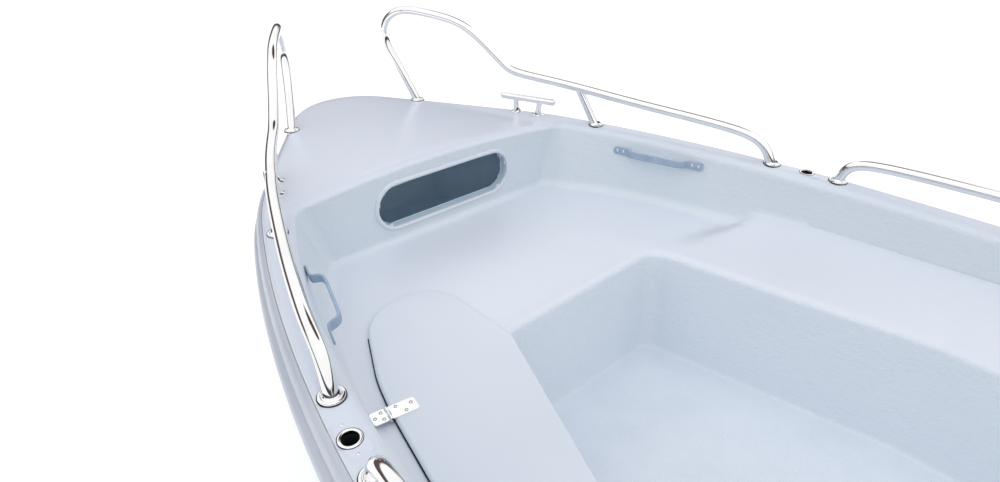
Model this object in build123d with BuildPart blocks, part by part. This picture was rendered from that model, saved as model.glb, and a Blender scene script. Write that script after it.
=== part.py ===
from build123d import *
import os
from math import atan, atan2, cos, degrees, radians, sin, sqrt, tan

# A small open fibreglass motorboat: a V-bottomed hull with a crowned foredeck,
# a moulded cockpit with a footwell, stainless rails and cleats, and an outboard
# motor on the transom. +X is forward, +Y is port and z = 0 is the waterline.
# All sizes are millimetres.

os.makedirs("parts", exist_ok=True)

# Hull and deck
bow_x = 2231.0
transom_x = -2250.0
deck_z = 584.0              # deck edge's height amidships
deck_slope = 0.033          # its rise towards the bow
transom_rake = 12.0
hull_spare = 9.0            # the hull's sides are drawn wide, then trimmed to the deck's edge
gunwale_width = 70.0
wall_slope = 0.16           # the cockpit's sides lean out by this much of their height
skin = 5.0                  # the deck moulding's laminate
crown_height = 28.0
crown_radius = 3800.0
gunwale_round = 12.0

# Cockpit
bulkhead_x = 1465.0
bulkhead_thickness = 26.0
cockpit_aft_x = -2060.0
bench_z = 407.0
bench_end_x = -300.0
sole_z = 77.0
cove_radius = 36.0
well_front_x = 895.0
well_draft = 6.0
well_round = 14.0
stern_bench_front_x = -1430.0
motor_well_front_x = -1830.0
bench_rise = 48.0
bench_rise_y = 690.0

# Motor well in the transom
well_half_width = 290.0
motor_well_z = 285.0
transom_top_z = 350.0
transom_thickness = 45.0

# Bow locker and its opening
opening_length = 500.0
opening_height = 125.0
opening_z = 530.0
opening_rim = 20.0
opening_lip = 7.0
locker_floor_z = 300.0

# Rub strake: ribs moulded round the deck's edge
strake_drop = 14.0
strake_height = 92.0
strake_depth = 32.0
# Its profile from the top, in shares of its depth and height: how far out, how far down
strake_profile = (
    (0.02, 0.0),
    (0.45, 0.08),
    (0.6, 0.22),
    (0.6, 0.36),
    (0.45, 0.42),
    (0.5, 0.5),
    (1.0, 0.56),
    (1.0, 0.84),
    (0.5, 1.0),
)

# Rails, cleats and handles
tube_radius = 12.5
flange_radius = 27.0
flange_thickness = 5.0
seat_gap = 0.3

# Half of the deck's outline, from the bow's tip aft: arc radius, turn in degrees
deck_arcs = (
    (224.0, 55.4),
    (15950.0, 2.1),
    (1077.0, 11.0),
    (3630.0, 16.4),
    (9800.0, 8.1),
)

# Hull sections stand at these stations; the lines through them are the functions below
station_xs = (-1500.0, -750.0, 0.0, 450.0, 850.0, 1200.0, 1500.0, 1740.0, 1930.0, 2070.0, 2170.0)
keel_z = -168.0
keel_rise_x = 500.0
stem_top_z = 450.0
chine_half_breadth = 715.0
chine_z = -14.0
chine_bow_z = 505.0
chine_flat = 42.0

# Port bench lid's corners: x, y, corner radius
bench_lid_corners = (
    (390.0, 698.0, 30.0),
    (645.0, 661.0, 900.0),
    (846.0, 621.0, 900.0),
    (950.0, 592.0, 500.0),
    (1184.0, 488.0, 150.0),
    (1184.0, 259.0, 110.0),
    (865.0, 259.0, 90.0),
    (390.0, 452.0, 30.0),
)
bench_locker_z = 190.0
locker_rebate = 45.0

# Stern hatch
stern_hatch_x = -1645.0
stern_hatch_length = 300.0
stern_hatch_width = 820.0
stern_locker_z = 90.0

# Oarlock sockets sunk in the gunwales: x, y
socket_places = ((668.0, 789.0),)
socket_radius = 19.0
socket_bore = 15.5
socket_depth = 58.0
running_gap = 0.3

# Locker frame and lids
sleeve_wall = 3.0
lid_thickness = 14.0
leaf_thickness = 2.0
leaf_width = 38.0
leaf_length = 36.0
lid_leaf_length = 62.0
knuckle_radius = 4.5
hinge_pad_length = 34.0
hinge_set_back = 6.0
hinge_line_x = 846.0
hinge_line_y = 629.0
hinge_line_slope = 0.171
bench_hinge_xs = (839.0, 480.0)
stern_hinge_ys = (280.0, -280.0)

# Bow rail, port: x, y, height over the deck, bend radius
bow_rail_route = (
    (2000.0, 265.0, -8.0, 0.0),
    (2145.0, 185.0, 355.0, 105.0),
    (1805.0, 360.0, 312.0, 90.0),
    (1645.0, 462.0, 148.0, 90.0),
    (815.0, 757.0, 78.0, 60.0),
    (770.0, 767.0, -8.0, 0.0),
)
# Its middle support: foot x, foot y, top x, top y, top height
bow_rail_supports = ((1359.0, 602.0, 1420.0, 542.0, 128.0),)

# Side rail, port, in the same columns
side_rail_route = (
    (578.0, 798.0, -8.0, 0.0),
    (540.0, 803.0, 74.0, 50.0),
    (0.0, 842.0, 82.0, 2000.0),
    (-620.0, 840.0, 74.0, 50.0),
    (-660.0, 838.0, -8.0, 0.0),
)
side_rail_supports = ((-40.0, 841.0, -40.0, 841.0, 80.0),)

# Cleats: fore foot, aft foot
bow_cleat_feet = ((1645.0, 477.0), (1568.0, 512.0))
stern_cleat_feet = ((-1960.0, 788.0), (-2045.0, 784.0))
cleat_height = 56.0
cleat_length = 220.0
cleat_splay = 8.0
cleat_foot_radius = 22.0
cleat_leg_radius = 8.0
cleat_bar_radius = 9.5

# Grab handles
handle_fore_x = 1262.0
handle_aft_x = 950.0
handle_z = 566.0
handle_seat = 6.0
handle_height = 26.0
handle_pad = 46.0
handle_pad_thickness = 5.0
handle_reach = 38.0
handle_bar = 12.0

# Fittings
socket_flange_radius = 21.0
eye_z = 380.0
eye_seat = 1.6
eye_radius = 16.0
eye_reach = 40.0
drain_z = -60.0
pad_width = 320.0
pad_height = 200.0
pad_thickness = 6.0

# Outboard motor: brackets
arm_y = 90.0
arm_width = 22.0
inner_leg_x = transom_x + transom_thickness + 22.0
inner_leg_z = 296.0
leg_thickness = 26.0
screw_z = 322.0
tilt_x = -2280.0
tilt_z = 382.0
tilt_tube_radius = 11.0
steer_x = -2352.0
swivel_web = 44.0
swivel_top_z = 470.0
swivel_bottom_z = 170.0
swivel_radius = 30.0
steer_shaft_radius = 19.0

# Drive leg; column sections: front x, length, half-width, z
column_sections = (
    (-2402.0, 150.0, 52.0, 520.0),
    (-2400.0, 110.0, 40.0, 200.0),
    (-2376.0, 120.0, 34.0, 110.0),
    (-2350.0, 150.0, 26.0, -181.0),
    (-2345.0, 140.0, 20.0, -300.0),
)
plate_z = -192.0
plate_front_x = -2270.0
gear_nose_x = -2285.0
gear_tail_x = -2510.0
gear_z = -330.0
gear_radius = 40.0
skeg_z = -478.0
prop_shaft_radius = 9.0
prop_hub_radius = 33.0
prop_hub_length = 92.0
prop_radius = 118.0
prop_pitch = 32.0
prop_blade_half_chord = 44.0

# Cowl, pan and engine; cowl sections: drawn in by, shifted, z
pan_z = 520.0
pan_flare = 34.0
cowl_z = 585.0
cowl_x = -2478.0
cowl_length = 520.0
cowl_width = 310.0
cowl_corner = 90.0
cowl_wall = 4.0
cowl_sections = (
    (0.0, 0.0, cowl_z),
    (-8.0, 0.0, cowl_z + 120.0),
    (4.0, 4.0, cowl_z + 250.0),
    (26.0, 10.0, cowl_z + 310.0),
    (80.0, 16.0, cowl_z + 340.0),
)
engine_height = 260.0
tiller_x = cowl_x + cowl_length / 2 + 22.0
tiller_y = 40.0
tiller_length = 420.0

tilt = degrees(atan(deck_slope))
deck = Plane(
    origin=(0, 0, deck_z),
    x_dir=(cos(radians(tilt)), 0, sin(radians(tilt))),
    z_dir=(-sin(radians(tilt)), 0, cos(radians(tilt))),
)


def deck_height(x):
    """Height of the deck's plane at a station."""
    return deck_z + deck_slope * x


def deck_plane(x, y, lift=0.0):
    """A plane on the deck, square to it, at a place given in plan."""
    return Plane(origin=(x, y, deck_height(x) + lift), x_dir=deck.x_dir, z_dir=deck.z_dir)


def half_outline(inset=0.0, aft=transom_x - 60.0):
    """Port half of the deck's outline, moved in by an inset: tangent arcs, then a straight run."""
    point, heading = Vector(bow_x - inset, 0), 90.0
    for radius, turn in deck_arcs:
        toward = Vector(cos(radians(heading)), sin(radians(heading)))
        arc = JernArc(start=point, tangent=toward, radius=radius - inset, arc_size=turn)
        point, heading = arc @ 1, heading + turn
    run = point.X - aft
    end = Vector(aft, point.Y + run * tan(radians(180.0 - heading)))
    Line(point, end)
    return end


def half_breadth(x):
    """The deck outline's half-breadth at a station."""
    px, py, heading = bow_x, 0.0, 90.0
    for radius, turn in deck_arcs:
        cx = px - radius * sin(radians(heading))
        cy = py + radius * cos(radians(heading))
        heading += turn
        px = cx + radius * sin(radians(heading))
        py = cy - radius * cos(radians(heading))
        if x >= px:
            return cy + sqrt(max(radius**2 - (x - cx) ** 2, 0.0))
    return py + (px - x) * tan(radians(180.0 - heading))


def outline_face(inset=0.0):
    """Draw the whole deck outline in the sketch that is open."""
    with BuildLine() as edge:
        end = half_outline(inset)
        mirror(about=Plane.XZ)
        Line(end, (end.X, -end.Y))
    make_face(edge.edges())


def deck_prism(bottom, top, inset=0.0):
    """The deck outline carried straight down between two levels measured from the deck."""
    with BuildPart() as prism:
        with BuildSketch(deck.offset(bottom)):
            outline_face(inset)
        extrude(amount=top - bottom)
    return prism.part


def wall_cone(bottom, top, grow=0.0):
    """The cockpit's outline between two levels: its sides lean out as they rise."""
    with BuildPart() as cone:
        for level in (bottom, top):
            with BuildSketch(deck.offset(level)):
                outline_face(gunwale_width - wall_slope * level - grow)
        loft(ruled=True)
    return cone.part


def block(x_range, y_range, z_range):
    """A plain block between three pairs of limits."""
    with BuildPart() as body:
        with Locations((x_range[0], y_range[0], z_range[0])):
            Box(
                x_range[1] - x_range[0],
                y_range[1] - y_range[0],
                z_range[1] - z_range[0],
                align=(Align.MIN, Align.MIN, Align.MIN),
            )
    return body.part


def deck_rise(x, y):
    """How far the crowned foredeck stands above the deck's plane."""
    if x < bulkhead_x:
        return 0.0
    along = (bow_x - x) / (bow_x - bulkhead_x)
    return max(0.0, crown_height * along - y**2 / (2 * crown_radius))


def crown_cap():
    """The foredeck's crown: part of a wide drum lying along the boat, its aft edge rounded."""
    drum_tilt = tilt - degrees(atan2(crown_height, bow_x - bulkhead_x))
    toward = Vector(cos(radians(drum_tilt)), 0, sin(radians(drum_tilt)))
    top = Vector(bulkhead_x, 0, deck_height(bulkhead_x) + crown_height)
    start = top - Vector(0, 0, crown_radius) - toward * 100.0
    with BuildPart() as cap:
        with BuildSketch(Plane(origin=start, z_dir=toward)):
            Circle(crown_radius)
        extrude(amount=bow_x - bulkhead_x + 250.0)
        add(deck_prism(-60.0, 60.0), mode=Mode.INTERSECT)
        split(bisect_by=Plane.YZ.offset(bulkhead_x), keep=Keep.TOP)
        aft_edge = cap.edges().filter_by_position(Axis.X, bulkhead_x - 0.1, bulkhead_x + 0.1).sort_by(Axis.Z)[-1]
        fillet(aft_edge, gunwale_round)
    return cap.part


def upper_space(grow=0.0):
    """The cockpit above bench level, from the bulkhead aft."""
    with BuildPart() as space:
        add(wall_cone(-320.0, 60.0, grow))
        add(
            block(
                (cockpit_aft_x - grow, bulkhead_x + grow),
                (-1000.0, 1000.0),
                (bench_z - grow, bench_z + 400.0),
            ),
            mode=Mode.INTERSECT,
        )
        corners = space.edges().filter_by(lambda e: abs((e % 0.5).Z) > 0.9)
        fillet(corners, cove_radius + grow)
        floor_edges = space.edges().filter_by_position(Axis.Z, bench_z - grow - 0.1, bench_z - grow + 0.1)
        fillet(floor_edges, cove_radius + grow)
    return space.part


# The footwell's top edge: x, port y, starboard y
well_outline = (
    (well_front_x, 262.0, -354.0),
    (440.0, 425.0, -436.0),
    (150.0, 490.0, -490.0),
    (-1430.0, 490.0, -490.0),
)
well_corner = 55.0


def well_space(grow=0.0):
    """The footwell down to the sole, with drafted sides."""
    draw_in = tan(radians(well_draft)) * (bench_z - sole_z)
    with BuildPart() as space:
        with BuildSketch(Plane.XY.offset(sole_z - grow)):
            with BuildLine():
                port = [(x, y) for x, y, _ in well_outline]
                starboard = [(x, y) for x, _, y in reversed(well_outline)]
                Polyline(*port, *starboard, close=True)
            make_face()
            fillet(vertices(), well_corner)
            offset(amount=grow - draw_in, kind=Kind.ARC)
        extrude(amount=bench_z - sole_z + 2 * grow + 2.0, taper=-well_draft)
    return space.part


def motor_well(grow=0.0):
    """The splash well ahead of the transom board, open to the transom's cut-out."""
    with BuildPart() as space:
        add(
            block(
                (transom_x + transom_thickness - grow, motor_well_front_x + grow),
                (-well_half_width - grow, well_half_width + grow),
                (motor_well_z - grow, bench_z + 300.0),
            )
        )
        fillet(space.edges().filter_by(Axis.Z), 40.0)
    return space.part


def transom_notch():
    """The cut-out that the motor's bracket hooks over."""
    with BuildPart() as notch:
        with BuildSketch(Plane.YZ.offset(transom_x - 80.0)):
            with BuildLine():
                Polyline(
                    (-well_half_width + 20.0, transom_top_z),
                    (well_half_width - 20.0, transom_top_z),
                    (well_half_width + 60.0, transom_top_z + 300.0),
                    (-well_half_width - 60.0, transom_top_z + 300.0),
                    close=True,
                )
            make_face()
            fillet(vertices(), 30.0)
        extrude(amount=400.0)
    return notch.part


def bow_locker():
    """The locker under the foredeck, narrowing to the bow."""
    with BuildPart() as space:
        with BuildSketch(Plane.XY.offset(locker_floor_z)):
            with BuildLine():
                Polyline((bulkhead_x + bulkhead_thickness, 390), (1860, 200), (1860, -200),
                         (bulkhead_x + bulkhead_thickness, -390), close=True)
            make_face()
            fillet(vertices(), 30.0)
        extrude(amount=290.0)
    return space.part


def opening_cut(grow=0.0):
    """The stadium-shaped opening through the bulkhead."""
    with BuildPart() as cut:
        with BuildSketch(Plane.YZ.offset(bulkhead_x - 60.0)):
            with Locations((0, opening_z)):
                SlotOverall(opening_length + 2 * grow, opening_height + 2 * grow)
        extrude(amount=bulkhead_thickness + 120.0)
    return cut.part


def starboard_wedge():
    """The starboard bench: its top rises from beside the footwell's edge out to the side."""
    far_y = 900.0
    with BuildPart() as wedge:
        for x, _, well_y in well_outline[:-1] + ((bench_end_x, 0.0, well_outline[-1][2]),):
            inner_y = -well_y + well_round + 2.0
            far_z = bench_z + bench_rise * (far_y - inner_y) / (bench_rise_y - inner_y)
            with BuildSketch(Plane.YZ.offset(x + 1.0)):
                with BuildLine():
                    Polyline((-inner_y, bench_z - 3.0), (-inner_y, bench_z), (-far_y, far_z), (-far_y, bench_z - 3.0), close=True)
                make_face()
        loft(ruled=True)
        with BuildSketch(Plane.XY.offset(bench_z - 10.0)):
            with BuildLine():
                Polyline((bench_end_x, -300), (896, -300), (896, -343), (734, -900), (bench_end_x, -900), close=True)
            make_face()
        extrude(amount=200.0, mode=Mode.INTERSECT)
        add(wall_cone(-320.0, 60.0), mode=Mode.INTERSECT)
    return wedge.part


def is_rim_edge(edge):
    """The cockpit's top edge: the gunwales' inner edge and the foredeck's aft edge."""
    ends_up = min(p.Z - deck_height(p.X) for p in (edge @ 0, edge @ 0.5, edge @ 1)) > -0.5
    middle = edge @ 0.5
    inside = cockpit_aft_x - 1.0 < middle.X < bulkhead_x + 1.0
    return inside and ends_up and abs(middle.Y) < half_breadth(middle.X) - gunwale_width / 2


def is_well_edge(edge):
    """The footwell's top edge on the benches."""
    middle = edge @ 0.5
    return abs(middle.Y) < 515.0 and middle.X < well_front_x + 1.0 and middle.X > stern_bench_front_x - 1.0


def bench_lid_outline(inset=0.0):
    """The port lid's outline in the sketch that is open."""
    with BuildLine() as edge:
        Polyline(*[(x, y) for x, y, _ in bench_lid_corners], close=True)
    make_face(edge.edges())
    for x, y, radius in bench_lid_corners:
        corner = vertices().sort_by_distance((x, y))[0]
        fillet(corner, radius)
    if inset:
        offset(amount=-inset, kind=Kind.ARC)


def bench_locker():
    """The locker under the port lid."""
    with BuildPart() as space:
        with BuildSketch(Plane.XY.offset(bench_locker_z)):
            bench_lid_outline(locker_rebate)
        extrude(amount=bench_z - bench_locker_z + 2.0)
    return space.part


def stern_locker():
    """The locker in the stern bench, where the fuel tank stands."""
    with BuildPart() as space:
        with BuildSketch(Plane.XY.offset(stern_locker_z)):
            with Locations((stern_hatch_x, 0)):
                RectangleRounded(stern_hatch_length - 2 * locker_rebate, stern_hatch_width - 2 * locker_rebate, 30.0)
        extrude(amount=bench_z - stern_locker_z + 2.0)
    return space.part


def keel_height(x):
    """The keel runs level, then sweeps up to the stem."""
    along = max(0.0, x - keel_rise_x) / (bow_x - keel_rise_x)
    return keel_z + (stem_top_z - keel_z) * along**4


def chine_breadth(x):
    """The chine's half-breadth: widest aft of amidships and narrow at the stem."""
    along = max(0.0, x + 600.0) / (bow_x + 600.0)
    return chine_half_breadth * (1.0 - 0.96 * along**3.1)


def chine_height(x):
    """The chine lies near the waterline and climbs to the stem."""
    along = max(0.0, x) / bow_x
    return chine_z + (chine_bow_z - chine_z) * along**4.2


def save(builder, name):
    """Name a finished piece and write it."""
    builder.part.label = name
    export_step(builder.part, f"parts/{name}.step")


def hinge_plane(x, y, x_dir):
    """A hinge's own plane: its pin along local x at the pin's height, its lid on the -y side."""
    return Plane(origin=(x, y, lid_top + leaf_thickness - knuckle_radius + 2.0), x_dir=x_dir, z_dir=(0, 0, 1))


def hinge_pad(plane, sink=0.0):
    """The moulded pad under a hinge's fixed leaf, level with the lid's top."""
    with BuildPart() as pad:
        with BuildSketch(Plane(origin=(plane.origin.X, plane.origin.Y, bench_z - sink), x_dir=plane.x_dir, z_dir=(0, 0, 1))):
            with Locations((0, hinge_pad_length / 2 + knuckle_radius + 2.0)):
                Rectangle(leaf_width + 8.0, hinge_pad_length)
        extrude(amount=lid_top - bench_z + sink)
    return pad.part


lid_top = bench_z + seat_gap + lid_thickness
lid_line = Vector(1, -hinge_line_slope, 0).normalized()
bench_hinges = [hinge_plane(x, hinge_line_y - hinge_line_slope * (x - hinge_line_x), lid_line) for x in bench_hinge_xs]
stern_axis_x = stern_hatch_x + stern_hatch_length / 2 + hinge_set_back
stern_hinges = [hinge_plane(stern_axis_x, y, (0, -1, 0)) for y in stern_hinge_ys]


# Hull: ruled sections, trimmed to the deck's edge and the raked transom
with BuildPart() as envelope:
    for x in (transom_x - 5.0, *station_xs, bow_x + 1.0):
        # the bow's sections are drawn wide, since the outline rounds in to nothing there
        side = half_breadth(min(x, bow_x)) + hull_spare + 100.0 * max(0.0, (x - 2000.0) / (bow_x - 2000.0))
        knuckle_z = deck_height(x) - strake_drop - strake_height + 6.0
        out, up = chine_breadth(x), chine_height(x)
        flat = chine_flat * out / chine_half_breadth
        with BuildSketch(Plane.YZ.offset(x)):
            with BuildLine():
                port = [(out - flat, up), (out, up), (side, knuckle_z), (side, deck_height(x) + 80.0)]
                Polyline((0, keel_height(x)), *port, *[(-y, z) for y, z in reversed(port)], close=True)
            make_face()
    loft(ruled=True)

with BuildPart() as trimmed:
    add(deck_prism(-900.0, 0.0))
    add(envelope.part, mode=Mode.INTERSECT)
    transom = Plane(
        origin=(transom_x, 0, transom_top_z),
        x_dir=(0, 1, 0),
        z_dir=(cos(radians(transom_rake)), 0, sin(radians(transom_rake))),
    )
    split(bisect_by=transom, keep=Keep.TOP)

# Both mouldings together: the envelope with every hollow cut and the edges rounded
with BuildPart() as moulding:
    add(trimmed.part)
    add(upper_space(), mode=Mode.SUBTRACT)
    fillet(moulding.edges().filter_by(is_rim_edge), gunwale_round)
    add(crown_cap())
    add(well_space(), mode=Mode.SUBTRACT)
    well_edges = moulding.edges().filter_by_position(Axis.Z, bench_z - 0.1, bench_z + 0.1)
    fillet(well_edges.filter_by(is_well_edge), well_round)
    add(bow_locker(), mode=Mode.SUBTRACT)
    add(opening_cut(), mode=Mode.SUBTRACT)
    add(motor_well(), mode=Mode.SUBTRACT)
    add(transom_notch(), mode=Mode.SUBTRACT)
    add(starboard_wedge())
    for plane in bench_hinges + stern_hinges:
        add(hinge_pad(plane))
    add(bench_locker(), mode=Mode.SUBTRACT)
    add(stern_locker(), mode=Mode.SUBTRACT)
    for x, y in socket_places:
        for side in (1, -1):
            with Locations(deck_plane(x, side * y, 1.0)):
                Cylinder(socket_radius + running_gap, socket_depth + 3.0, align=(Align.CENTER, Align.CENTER, Align.MAX),
                         mode=Mode.SUBTRACT)

# The deck moulding is the skin over the hollows and the deck; the hull is the rest, foam-cored
with BuildPart() as skin_zone:
    add(deck_prism(-skin, 100.0))
    add(crown_cap().moved(Location((skin, 0, -skin))), mode=Mode.SUBTRACT)
    add(upper_space(skin))
    add(starboard_wedge().moved(Location((-skin, 0, -skin))), mode=Mode.SUBTRACT)
    add(well_space(skin))
    add(motor_well(skin))
    for plane in bench_hinges + stern_hinges:
        add(hinge_pad(plane, skin))

with BuildPart() as deck_moulding:
    add(moulding.part)
    add(skin_zone.part, mode=Mode.INTERSECT)
save(deck_moulding, "deck_moulding")

with BuildPart() as hull:
    add(moulding.part)
    add(skin_zone.part, mode=Mode.SUBTRACT)
save(hull, "hull")


# Rub strake: two moulded ribs with a groove between, round the deck's edge
with BuildPart() as rub_strake:
    for out, down in strake_profile:
        with BuildSketch(deck.offset(-strake_drop - strake_height * down)):
            outline_face(-strake_depth * out - seat_gap)
    loft(ruled=True)
    add(deck_prism(-strake_drop - strake_height, 0.0, -seat_gap), mode=Mode.SUBTRACT)
    split(bisect_by=transom, keep=Keep.TOP)
save(rub_strake, "rub_strake")

# Frame round the bow locker's opening: a lip on the bulkhead and a sleeve through it
with BuildPart() as locker_frame:
    with BuildSketch(Plane.YZ.offset(bulkhead_x)):
        with Locations((0, opening_z)):
            SlotOverall(opening_length + 2 * opening_rim, opening_height + 2 * opening_rim)
    extrude(amount=-opening_lip)
    fillet(locker_frame.faces().sort_by(Axis.X)[0].edges(), opening_lip * 0.6)
    with BuildSketch(Plane.YZ.offset(bulkhead_x)):
        with Locations((0, opening_z)):
            SlotOverall(opening_length, opening_height)
    extrude(amount=bulkhead_thickness)
    with BuildSketch(Plane.YZ.offset(bulkhead_x - opening_lip)):
        with Locations((0, opening_z)):
            SlotOverall(opening_length - 2 * sleeve_wall, opening_height - 2 * sleeve_wall)
    extrude(amount=bulkhead_thickness + opening_lip, mode=Mode.SUBTRACT)
save(locker_frame, "locker_frame")

# Port bench lid
with BuildPart() as port_bench_lid:
    with BuildSketch(Plane.XY.offset(bench_z + seat_gap)):
        bench_lid_outline()
    extrude(amount=lid_thickness)
    fillet(port_bench_lid.faces().sort_by(Axis.Z)[-1].edges(), lid_thickness * 0.4)
save(port_bench_lid, "port_bench_lid")

# Stern hatch
with BuildPart() as stern_hatch:
    with BuildSketch(Plane.XY.offset(bench_z + seat_gap)):
        with Locations((stern_hatch_x, 0)):
            RectangleRounded(stern_hatch_length, stern_hatch_width, 40.0)
    extrude(amount=lid_thickness)
    fillet(stern_hatch.faces().sort_by(Axis.Z)[-1].edges(), lid_thickness * 0.4)
save(stern_hatch, "stern_hatch")


def leaf(plane, sign, length, knuckles):
    """One leaf with its knuckles; sign is -1 for the lid's leaf and 1 for the fixed one."""
    drop = knuckle_radius - 2.0
    with BuildPart() as piece:
        with BuildSketch(plane.offset(drop - leaf_thickness)):
            with Locations((0, sign * (length / 2 + knuckle_radius * 0.4))):
                RectangleRounded(leaf_width, length, 6.0)
        extrude(amount=leaf_thickness)
        gap_plane = Plane(origin=plane.origin, x_dir=plane.y_dir, z_dir=plane.x_dir)
        for low, high in knuckles:
            with BuildSketch(gap_plane.offset(low)):
                Circle(knuckle_radius)
            extrude(amount=high - low)
    return piece.part


def knuckle_room(plane, knuckles):
    """The room that the other leaf's knuckles need."""
    with BuildPart() as room:
        gap_plane = Plane(origin=plane.origin, x_dir=plane.y_dir, z_dir=plane.x_dir)
        for low, high in knuckles:
            with BuildSketch(gap_plane.offset(low - 0.5)):
                Circle(knuckle_radius + 0.8)
            extrude(amount=high - low + 1.0)
    return room.part


half_leaf = leaf_width / 2
fixed_knuckles = ((-half_leaf / 3 + 0.5, half_leaf / 3 - 0.5),)
lid_knuckles = ((-half_leaf, -half_leaf / 3), (half_leaf / 3, half_leaf))


def hinge_pin(plane):
    """The pin through the knuckles."""
    with BuildPart() as pin:
        with BuildSketch(Plane(origin=plane.origin, x_dir=plane.y_dir, z_dir=plane.x_dir).offset(-half_leaf)):
            Circle(knuckle_radius * 0.45)
        extrude(amount=leaf_width)
    return pin.part


def fixed_leaf(plane, length):
    """The leaf screwed to the boat, bored for the pin."""
    with BuildPart() as piece:
        add(leaf(plane, 1, length, fixed_knuckles))
        add(knuckle_room(plane, lid_knuckles), mode=Mode.SUBTRACT)
        with BuildSketch(Plane(origin=plane.origin, x_dir=plane.y_dir, z_dir=plane.x_dir).offset(-half_leaf)):
            Circle(knuckle_radius * 0.45 + 0.15)
        extrude(amount=leaf_width, mode=Mode.SUBTRACT)
    return piece.part


def lid_leaf(plane, length):
    """The leaf screwed to the lid, with the pin fast in it."""
    with BuildPart() as piece:
        add(leaf(plane, -1, length, lid_knuckles))
        add(knuckle_room(plane, fixed_knuckles), mode=Mode.SUBTRACT)
        add(hinge_pin(plane))
    return piece.part


for group, planes in (("bench", bench_hinges), ("stern", stern_hinges)):
    with BuildPart() as fixed_leaves:
        for plane in planes:
            add(fixed_leaf(plane, leaf_length))
    save(fixed_leaves, f"{group}_hinge_leaves")
    with BuildPart() as lid_leaves:
        for plane in planes:
            add(lid_leaf(plane, lid_leaf_length))
    save(lid_leaves, f"{group}_lid_leaves")


def foot(x, y):
    """A rail's flange, screwed to the deck."""
    with BuildPart() as flange:
        with BuildSketch(deck_plane(x, y, deck_rise(x, abs(y)) + seat_gap)):
            Circle(flange_radius)
        extrude(amount=flange_thickness)
        fillet(flange.edges().filter_by(GeomType.CIRCLE).sort_by(Axis.Z)[-1], flange_thickness * 0.6)
    return flange.part


def at_deck(x, y, height):
    """A rail point: its place in plan and its height over the deck's plane."""
    return (x, y, deck_height(x) + height)


def tube(points, radii):
    """A bent tube: straight runs joined by tangent arcs."""
    with BuildPart() as piece:
        with BuildLine() as path:
            if radii:
                FilletPolyline(*points, radius=radii)
            else:
                Line(*points)
        with BuildSketch(Plane(origin=path.line @ 0, z_dir=path.line % 0)):
            Circle(tube_radius)
        sweep(path=path.wire())
    return piece.part


def rail(route, supports):
    """A rail: the tube along its route, its supports and a flange under each foot."""
    points = [at_deck(x, y, height) for x, y, height, _ in route]
    radii = [radius for _, _, _, radius in route[1:-1]]
    with BuildPart() as piece:
        add(tube(points, radii))
        for foot_x, foot_y, top_x, top_y, top_height in supports:
            add(tube([at_deck(foot_x, foot_y, -8.0), at_deck(top_x, top_y, top_height)], []))
            add(foot(foot_x, foot_y))
        for x, y, height, _ in (route[0], route[-1]):
            add(foot(x, y))
        split(bisect_by=deck.offset(seat_gap), keep=Keep.TOP)
    return piece.part


for name, route, supports in (("bow_rail", bow_rail_route, bow_rail_supports),
                              ("side_rail", side_rail_route, side_rail_supports)):
    with BuildPart() as port_rail:
        add(rail(route, supports))
    save(port_rail, f"{name}_port")
    with BuildPart() as starboard_rail:
        add(mirror(port_rail.part, about=Plane.XZ, mode=Mode.PRIVATE))
    save(starboard_rail, f"{name}_starboard")


def cleat(fore, aft):
    """A two-legged bar cleat standing on its two flanged feet."""
    (fx, fy), (ax, ay) = fore, aft
    middle = ((fx + ax) / 2, (fy + ay) / 2)
    along = Vector(fx - ax, fy - ay, deck_slope * (fx - ax))
    spread = along.length
    along = along.normalized()
    base = deck_plane(*middle, deck_rise(*middle) + seat_gap)
    side = deck.z_dir.cross(along)
    bar_plane = Plane(origin=base.origin + deck.z_dir * cleat_height, x_dir=side, z_dir=along)
    with BuildPart() as piece:
        for x, y in (fore, aft):
            with BuildSketch(deck_plane(x, y, deck_rise(x, y) + seat_gap)):
                Circle(cleat_foot_radius)
            extrude(amount=4.0)
        for sign in (1, -1):
            foot_point = base.origin + along * (sign * spread / 2)
            top_point = base.origin + deck.z_dir * cleat_height + along * (sign * (spread / 2 + cleat_splay))
            with BuildLine() as leg:
                Line(foot_point, top_point)
            with BuildSketch(Plane(origin=leg.line @ 0, z_dir=leg.line % 0)):
                Circle(cleat_leg_radius)
            sweep(path=leg.wire())
        with BuildSketch(bar_plane.offset(-cleat_length / 2)):
            Circle(cleat_bar_radius)
        extrude(amount=cleat_length)
        ends = piece.edges().filter_by(GeomType.CIRCLE).filter_by(
            lambda e: abs((e.arc_center - bar_plane.origin).length - cleat_length / 2) < 0.5
        )
        fillet(ends, cleat_bar_radius * 0.8)
        split(bisect_by=deck.offset(seat_gap), keep=Keep.TOP)
    return piece.part


for name, fore, aft in (("bow_cleat", *bow_cleat_feet), ("stern_cleat", *stern_cleat_feet)):
    with BuildPart() as port_cleat:
        add(cleat(fore, aft))
    save(port_cleat, f"{name}_port")
    with BuildPart() as starboard_cleat:
        add(mirror(port_cleat.part, about=Plane.XZ, mode=Mode.PRIVATE))
    save(starboard_cleat, f"{name}_starboard")


def wall_point(x, z):
    """A point on the port side of the cockpit's inner wall."""
    return Vector(x, half_breadth(x) - gunwale_width - wall_slope * (deck_height(x) - z), z)


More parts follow.
